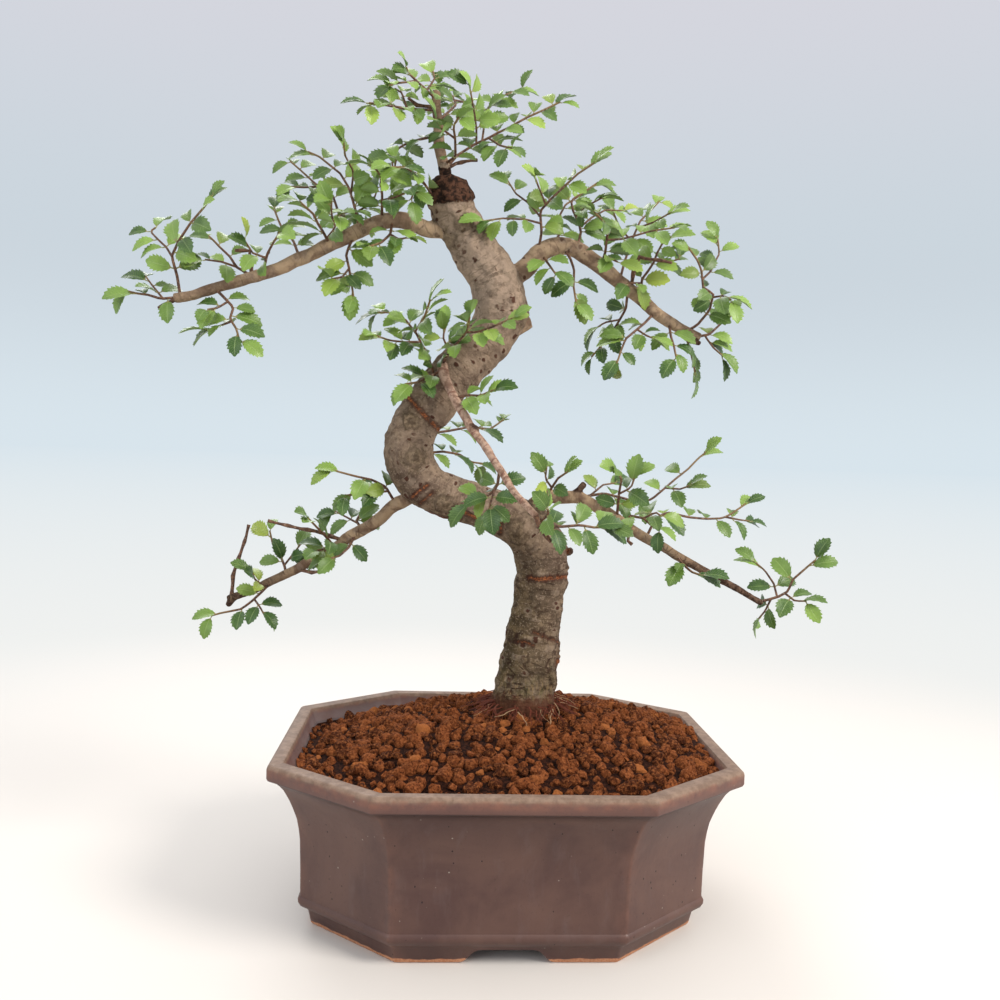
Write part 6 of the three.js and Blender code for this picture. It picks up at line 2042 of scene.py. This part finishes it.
def spray_mesh(name, shoots, toss, kinds):
    """Twig edges with their thickness, and a loose point for each leaf."""
    twigs, edges = [], []
    for shoot in shoots:
        run = shoot_run(shoot)
        edges += [(len(twigs) + k, len(twigs) + k + 1) for k in range(len(run) - 1)]
        twigs += run
    leaves = [leaf for shoot in shoots for leaf in shoot["leaves"]]
    turns, facts = [(1, 0, 0, 0)] * len(twigs), []
    for leaf in leaves:
        matrix = Matrix((leaf["ahead"], leaf["side"], leaf["face"])).transposed()
        turns.append(tuple(matrix.to_quaternion()))
        facts.append((leaf["length"] * MM, *leaf_tones(leaf, toss), int(next(toss) * kinds)))
    points = [point for point, _, _ in twigs] + [leaf["base"] for leaf in leaves]
    mesh = new_mesh(name, to_frame(points), [], edges)
    size, tone, warm, kind = np.array(facts).reshape(-1, 4).T
    off_twig, off_leaf = np.zeros(len(twigs)), np.zeros(len(leaves))
    for title, on_twig, on_leaf in (
        ("is_leaf", off_twig, off_leaf + 1), ("size", off_twig, size), ("tone", off_twig, tone),
        ("warm", off_twig, warm), ("thick", np.array([r for _, r, _ in twigs]) * MM, off_leaf),
        ("young", [share for _, _, share in twigs], off_leaf),
    ):
        store(mesh, title, np.concatenate((on_twig, on_leaf)))
    store(mesh, "kind", np.concatenate((off_twig, kind)), "INT")
    turn = mesh.attributes.new("turn", "QUATERNION", "POINT")
    turn.data.foreach_set("value", np.array(turns, np.float32).ravel())
    return mesh


def make_sprays(foliage):
    """One piece for each leafy spray of the frame, with finer and more leaves."""
    crown = Foliage(foliage.spacing / MM, foliage.room / MM)
    shapes = bpy.data.collections.new("Leaf Shapes")
    kinds = foliage.shapes
    for variant in range(kinds):
        shape = leaf_source(variant)
        bpy.context.scene.collection.objects.unlink(shape)
        shapes.objects.link(shape)
    growth = spray_tree(shapes)
    leaf, twig = leaf_finish(foliage), twig_finish()
    toss = seeded_draws(foliage.seed)
    pieces = []
    for name, shoots in crown.sprays.items():
        obj = link(f"spray_{name}_leaves", spray_mesh(name, shoots, toss, kinds))
        growth.grow(obj, {
            "Twig Thickness": foliage.twig, "Leaf Size": foliage.leaf_size, "Leaf Finish": leaf,
            "Twig Finish": twig,
        })
        points = np.clip(coordinates(obj.data), CAD_BOX[0], CAD_BOX[1])
        move_points(obj.data, points)
        pieces.append((name, obj))
    for shape in list(shapes.objects):
        bpy.data.meshes.remove(shape.data)
    bpy.data.collections.remove(shapes)
    bpy.data.node_groups.remove(growth.tree)
    return pieces


# Stage


# Lights: name, place and size in metres, share of the key light's power, colour.
LIGHTS = (
    ("key", (0.95, -0.62, 0.95), 0.55, 1, (1.0, 0.96, 0.9)),
    ("fill", (-0.9, -0.8, 0.7), 1.0, 0.3, (0.88, 0.94, 1.0)),
    ("rim", (-0.3, 0.9, 0.9), 0.8, 0.35, (1.0, 1.0, 1.0)),
)
LIT = (0.0, 0.0, 0.17)
# The photograph's camera: how far it is turned, tipped down and rolled, and its lens.
CAMERA = {"turn": 3.48, "tip": 2.56, "roll": 1.81, "sensor": 36.0, "lens": 36.0 * 0.946}
FLOOR = {"reach": 6e4, "level": -0.2}


def aim(obj, spot):
    """Turns a light so that it shines on a spot."""
    ahead = Vector(spot) - obj.location
    obj.rotation_euler = ahead.to_track_quat("-Z", "Y").to_euler()


def soft_light(name, spot, size, power, colour):
    light = bpy.data.lights.new(name, "AREA")
    light.shape, light.size, light.energy, light.color = "DISK", size, power, colour
    obj = bpy.data.objects.new(name, light)
    bpy.context.scene.collection.objects.link(obj)
    obj.location = spot
    aim(obj, LIT)


def make_camera():
    """Where the photograph was taken from: turned, tipped down and rolled a little."""
    turn, tip, roll = (math.radians(CAMERA[key]) for key in ("turn", "tip", "roll"))
    ahead = Vector((
        math.sin(turn) * math.cos(tip), math.cos(turn) * math.cos(tip), -math.sin(tip)
    ))
    level = Vector((math.cos(turn), -math.sin(turn), 0))
    upright = level.cross(ahead)
    right = math.cos(roll) * level + math.sin(roll) * upright
    up = math.cos(roll) * upright - math.sin(roll) * level
    camera = bpy.data.cameras.new("camera")
    camera.sensor_width, camera.lens = CAMERA["sensor"], CAMERA["lens"]
    camera.clip_start = 0.01
    obj = bpy.data.objects.new("camera", camera)
    bpy.context.scene.collection.objects.link(obj)
    obj.matrix_world = Matrix((right, up, -ahead)).transposed().to_4x4()
    obj.location = Vector(to_frame(EYE))
    bpy.context.scene.camera = obj


def make_room(stage):
    """A plain room without edges: pale blue where it meets the floor, softly lit overhead."""
    world = bpy.data.worlds.new("Pale Room")
    bpy.context.scene.world = world
    world.use_nodes = True
    sheet = Sheet(world.node_tree)
    way = sheet.add("ShaderNodeTexCoord").out("Generated")
    height = sheet.add("ShaderNodeSeparateXYZ", sockets={0: way}).out("Z")
    colour = sheet.blend(height.rise(0.0, 0.2), rgb(stage.horizon), rgb(stage.room))
    colour = sheet.blend(height.rise(0.2, 0.48), colour, rgb(stage.room_high))
    colour = sheet.blend(height.rise(0.45, 0.8), colour, (stage.room_light,) * 3)
    back = world.node_tree.nodes["Background"]
    world.node_tree.links.new(colour.socket, back.inputs["Color"])


def make_stage(stage):
    far, corners = FLOOR["reach"], ((-1, -1), (1, -1), (1, 1), (-1, 1))
    points = to_frame([(x * far, y * far, FLOOR["level"]) for x, y in corners])
    floor = link("floor", new_mesh("floor", points, [(0, 1, 2, 3)]))
    floor.data.materials.append(floor_finish(stage))
    make_room(stage)
    for name, spot, size, share, colour in LIGHTS:
        soft_light(name, spot, size, stage.key * share, colour)
    make_camera()
    bpy.context.scene.view_settings.view_transform = "Standard"


# What a user would change


class PotSettings(bpy.types.PropertyGroup):
    corner: FloatProperty(
        name="Corner Radius", description="How rounded the pot's eight corners are",
        default=2.6 * MM, min=0.8 * MM, max=5 * MM, subtype="DISTANCE", unit="LENGTH",
    )
    glaze: FloatVectorProperty(
        name="Glaze", description="The dark plum brown of the glaze", subtype="COLOR",
        default=(0.062, 0.026, 0.021), min=0, max=1,
    )
    glaze_warm: FloatVectorProperty(
        name="Warm Glaze", description="The browner clouds in the glaze", subtype="COLOR",
        default=(0.1, 0.048, 0.035), min=0, max=1,
    )
    glaze_bloom: FloatVectorProperty(
        name="Bloom", description="Pale streaks where the glaze ran", subtype="COLOR",
        default=(0.125, 0.085, 0.078), min=0, max=1,
    )
    # The lip's tan also carries a painted highlight along the top of the lip.
    lip: FloatVectorProperty(
        name="Lip", description="The tan of the thin glaze along the lip", subtype="COLOR",
        default=(0.23, 0.15, 0.104), min=0, max=1,
    )


class SoilSettings(bpy.types.PropertyGroup):
    spacing: FloatProperty(
        name="Spacing", description="Least distance between the middles of two granules",
        default=3.9 * MM, min=3 * MM, max=8 * MM, subtype="DISTANCE", unit="LENGTH",
    )
    smallest: FloatProperty(
        name="Smallest", description="Radius of the smallest granules",
        default=1.7 * MM, min=MM, max=3 * MM, subtype="DISTANCE", unit="LENGTH",
    )
    largest: FloatProperty(
        name="Largest", description="Radius of the largest granules",
        default=4.1 * MM, min=2 * MM, max=6 * MM, subtype="DISTANCE", unit="LENGTH",
    )
    seed: IntProperty(
        name="Seed", description="Lays the granules out another way", default=4, min=0,
    )
    granule: FloatVectorProperty(
        name="Granule", description="The red brown of most granules", subtype="COLOR",
        default=(0.15, 0.042, 0.013), min=0, max=1,
    )
    granule_dark: FloatVectorProperty(
        name="Dark Granule", description="The darkest granules", subtype="COLOR",
        default=(0.042, 0.011, 0.004), min=0, max=1,
    )
    granule_light: FloatVectorProperty(
        name="Light Granule", description="The orange of worn granules", subtype="COLOR",
        default=(0.37, 0.125, 0.042), min=0, max=1,
    )


class WoodSettings(bpy.types.PropertyGroup):
    voxel: FloatProperty(
        name="Detail", description="Size of the faces that the bark is modelled in",
        default=0.75 * MM, min=0.5 * MM, max=2 * MM, subtype="DISTANCE", unit="LENGTH",
    )
    relief: FloatProperty(
        name="Relief", description="Depth of ridges and knots, as a share of the real ones",
        default=1.0, min=0, max=2, subtype="FACTOR",
    )
    bark: FloatVectorProperty(
        name="Bark", description="The pinkish grey of the upper bark", subtype="COLOR",
        default=(0.235, 0.165, 0.115), min=0, max=1,
    )
    scar: FloatVectorProperty(
        name="Scar", description="The orange red of wood in a healed wound", subtype="COLOR",
        default=(0.36, 0.12, 0.045), min=0, max=1,
    )
    moss: FloatVectorProperty(
        name="Moss", description="The dull green film on the foot", subtype="COLOR",
        default=(0.06, 0.062, 0.02), min=0, max=1,
    )
    fibres: IntProperty(
        name="Root Fibres", description="How many thin roots lie round the trunk's foot",
        default=150, min=0, max=400,
    )


class FoliageSettings(bpy.types.PropertyGroup):
    leaf_size: FloatProperty(
        name="Leaf Size", description="Size of the leaves, as a share of their measured length",
        default=0.95, min=0.5, max=1.2, subtype="FACTOR",
    )
    spacing: FloatProperty(
        name="Spacing", description="Distance along a shoot between places tried for more leaves",
        default=7 * MM, min=2 * MM, max=20 * MM, subtype="DISTANCE", unit="LENGTH",
    )
    room: FloatProperty(
        name="Room", description="Least room between one leaf and the next",
        default=0.6 * MM, min=0.1 * MM, max=3 * MM, subtype="DISTANCE", unit="LENGTH",
    )
    twig: FloatProperty(
        name="Twig Thickness", description="Thickness of the shoots, as a share of the frame's",
        default=0.62, min=0.2, max=1.0, subtype="FACTOR",
    )
    shapes: IntProperty(name="Leaf Shapes", description="How many leaf shapes", default=10, min=1)
    seed: IntProperty(name="Seed", description="Deals the leaf shapes out another way", default=3)
    leaf_dark: FloatVectorProperty(
        name="Dark Leaf", description="The deep green of old leaves", subtype="COLOR",
        default=(0.024, 0.068, 0.007), min=0, max=1,
    )
    leaf_light: FloatVectorProperty(
        name="Light Leaf", description="The mid green of leaves in the light", subtype="COLOR",
        default=(0.235, 0.365, 0.06), min=0, max=1,
    )
    # This yellow green also paints the glow of leaves lit from behind.
    leaf_young_and_backlit: FloatVectorProperty(
        name="Young Leaf", description="The yellow green of the youngest leaves", subtype="COLOR",
        default=(0.33, 0.4, 0.055), min=0, max=1,
    )


class StageSettings(bpy.types.PropertyGroup):
    floor: FloatVectorProperty(
        name="Floor", description="The pale floor", subtype="COLOR", default=(0.64, 0.6, 0.56),
        min=0, max=1,
    )
    floor_far: FloatVectorProperty(
        name="Far Floor", description="The floor's shown colour away from the tree",
        subtype="COLOR", default=(0.89, 0.865, 0.82), min=0, max=1,
    )
    horizon: FloatVectorProperty(
        name="Horizon", description="Where the floor and the room meet", subtype="COLOR",
        default=(0.69, 0.78, 0.84), min=0, max=1,
    )
    room: FloatVectorProperty(
        name="Room", description="The pale room behind the tree", subtype="COLOR",
        default=(0.6, 0.67, 0.73), min=0, max=1,
    )
    room_high: FloatVectorProperty(
        name="Room Above", description="The room higher up", subtype="COLOR",
        default=(0.67, 0.67, 0.73), min=0, max=1,
    )
    room_light: FloatProperty(
        name="Room Light", description="Strength of the light from overhead", default=1.1, min=0,
    )
    key: FloatProperty(
        name="Key Light", description="Power of the main light", default=19.0, min=0, unit="POWER",
    )


class BonsaiSettings(bpy.types.PropertyGroup):
    pot: PointerProperty(type=PotSettings, name="Pot", description="The glazed pot")
    soil: PointerProperty(type=SoilSettings, name="Soil", description="The granular soil")
    wood: PointerProperty(type=WoodSettings, name="Wood", description="Trunk and branches")
    foliage: PointerProperty(type=FoliageSettings, name="Foliage", description="Shoots and leaves")
    stage: PointerProperty(type=StageSettings, name="Stage", description="Floor and light")


def stand_for(obj, slot, *nodes):
    """A finished piece rides with the frame and hides its nodes; the slot is not used."""
    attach(obj, "root")
    if nodes:
        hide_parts(*nodes)


class BONSAI_OT_pot(bpy.types.Operator):
    """Makes the glazed pot and the drainage meshes' finish"""

    bl_idname = "bonsai.pot"
    bl_label = "Pot"

    def execute(self, context):
        settings = context.scene.bonsai.pot
        obj = make_pot(settings)
        obj.data.materials.append(glaze_finish(settings))
        stand_for(obj, frame_slot("pot"), "pot")
        plastic = mesh_finish()
        for name in ("mesh_left", "mesh_right"):
            for slot in frame["nodes"][name].material_slots:
                slot.link = "OBJECT"
                slot.material = plastic
        return {"FINISHED"}


class BONSAI_OT_soil(bpy.types.Operator):
    """Makes the soil bed and its granules"""

    bl_idname = "bonsai.soil"
    bl_label = "Soil"

    def execute(self, context):
        stand_for(make_soil(context.scene.bonsai.soil), frame_slot("soil"), "soil")
        return {"FINISHED"}


class BONSAI_OT_wood(bpy.types.Operator):
    """Makes the trunk, the branches and the bare twigs"""

    bl_idname = "bonsai.wood"
    bl_label = "Wood"

    def execute(self, context):
        settings = context.scene.bonsai.wood
        obj, twigs, fibres = make_wood(settings)
        obj.data.materials.append(bark_finish(settings))
        twigs.data.materials.append(twig_finish())
        fibres.data.materials.append(fibre_finish())
        slot = frame_slot("trunk_and_branches")
        stand_for(obj, slot, "trunk_and_branches")
        stand_for(twigs, slot)
        stand_for(fibres, slot)
        return {"FINISHED"}


class BONSAI_OT_foliage(bpy.types.Operator):
    """Makes one leafy piece for each spray of the frame"""

    bl_idname = "bonsai.foliage"
    bl_label = "Foliage"

    def execute(self, context):
        for name, obj in make_sprays(context.scene.bonsai.foliage):
            node = f"spray_{name}"
            stand_for(obj, frame_slot(node), node)
        return {"FINISHED"}


class BONSAI_OT_stage(bpy.types.Operator):
    """Makes the floor, the lights and the camera"""

    bl_idname = "bonsai.stage"
    bl_label = "Stage"

    def execute(self, context):
        make_stage(context.scene.bonsai.stage)
        return {"FINISHED"}


OPERATORS = (BONSAI_OT_pot, BONSAI_OT_soil, BONSAI_OT_wood, BONSAI_OT_foliage, BONSAI_OT_stage)


class BONSAI_PT_panel(bpy.types.Panel):
    """Lists the pieces of the bonsai with their sizes and colours"""

    bl_label = "Chinese Elm Bonsai"
    bl_idname = "BONSAI_PT_panel"
    bl_space_type = "VIEW_3D"
    bl_region_type = "UI"
    bl_category = "Bonsai"

    def draw(self, context):
        settings = context.scene.bonsai
        for operator in OPERATORS:
            name = operator.bl_idname.split(".")[1]
            box = self.layout.box()
            group = getattr(settings, name)
            for key in group.bl_rna.properties.keys():
                if key not in ("rna_type", "name"):
                    box.prop(group, key)
            box.operator(operator.bl_idname)


CLASSES = (
    PotSettings, SoilSettings, WoodSettings, FoliageSettings, StageSettings, BonsaiSettings,
    *OPERATORS, BONSAI_PT_panel,
)


def frame_slot(node):
    """The record's material slot of a frame node."""
    for entry in frame["record"]["subparts"]:
        if entry["node"] == node:
            return entry["material_slot"]
    raise KeyError(node)


def register():
    for made in CLASSES:
        bpy.utils.register_class(made)
    bpy.types.Scene.bonsai = PointerProperty(type=BonsaiSettings)


def unregister():
    del bpy.types.Scene.bonsai
    for made in reversed(CLASSES):
        bpy.utils.unregister_class(made)


def main():
    register()
    for make in (
        bpy.ops.bonsai.stage, bpy.ops.bonsai.pot, bpy.ops.bonsai.soil, bpy.ops.bonsai.wood,
        bpy.ops.bonsai.foliage,
    ):
        make()
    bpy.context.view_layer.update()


if __name__ == "__main__":
    main()
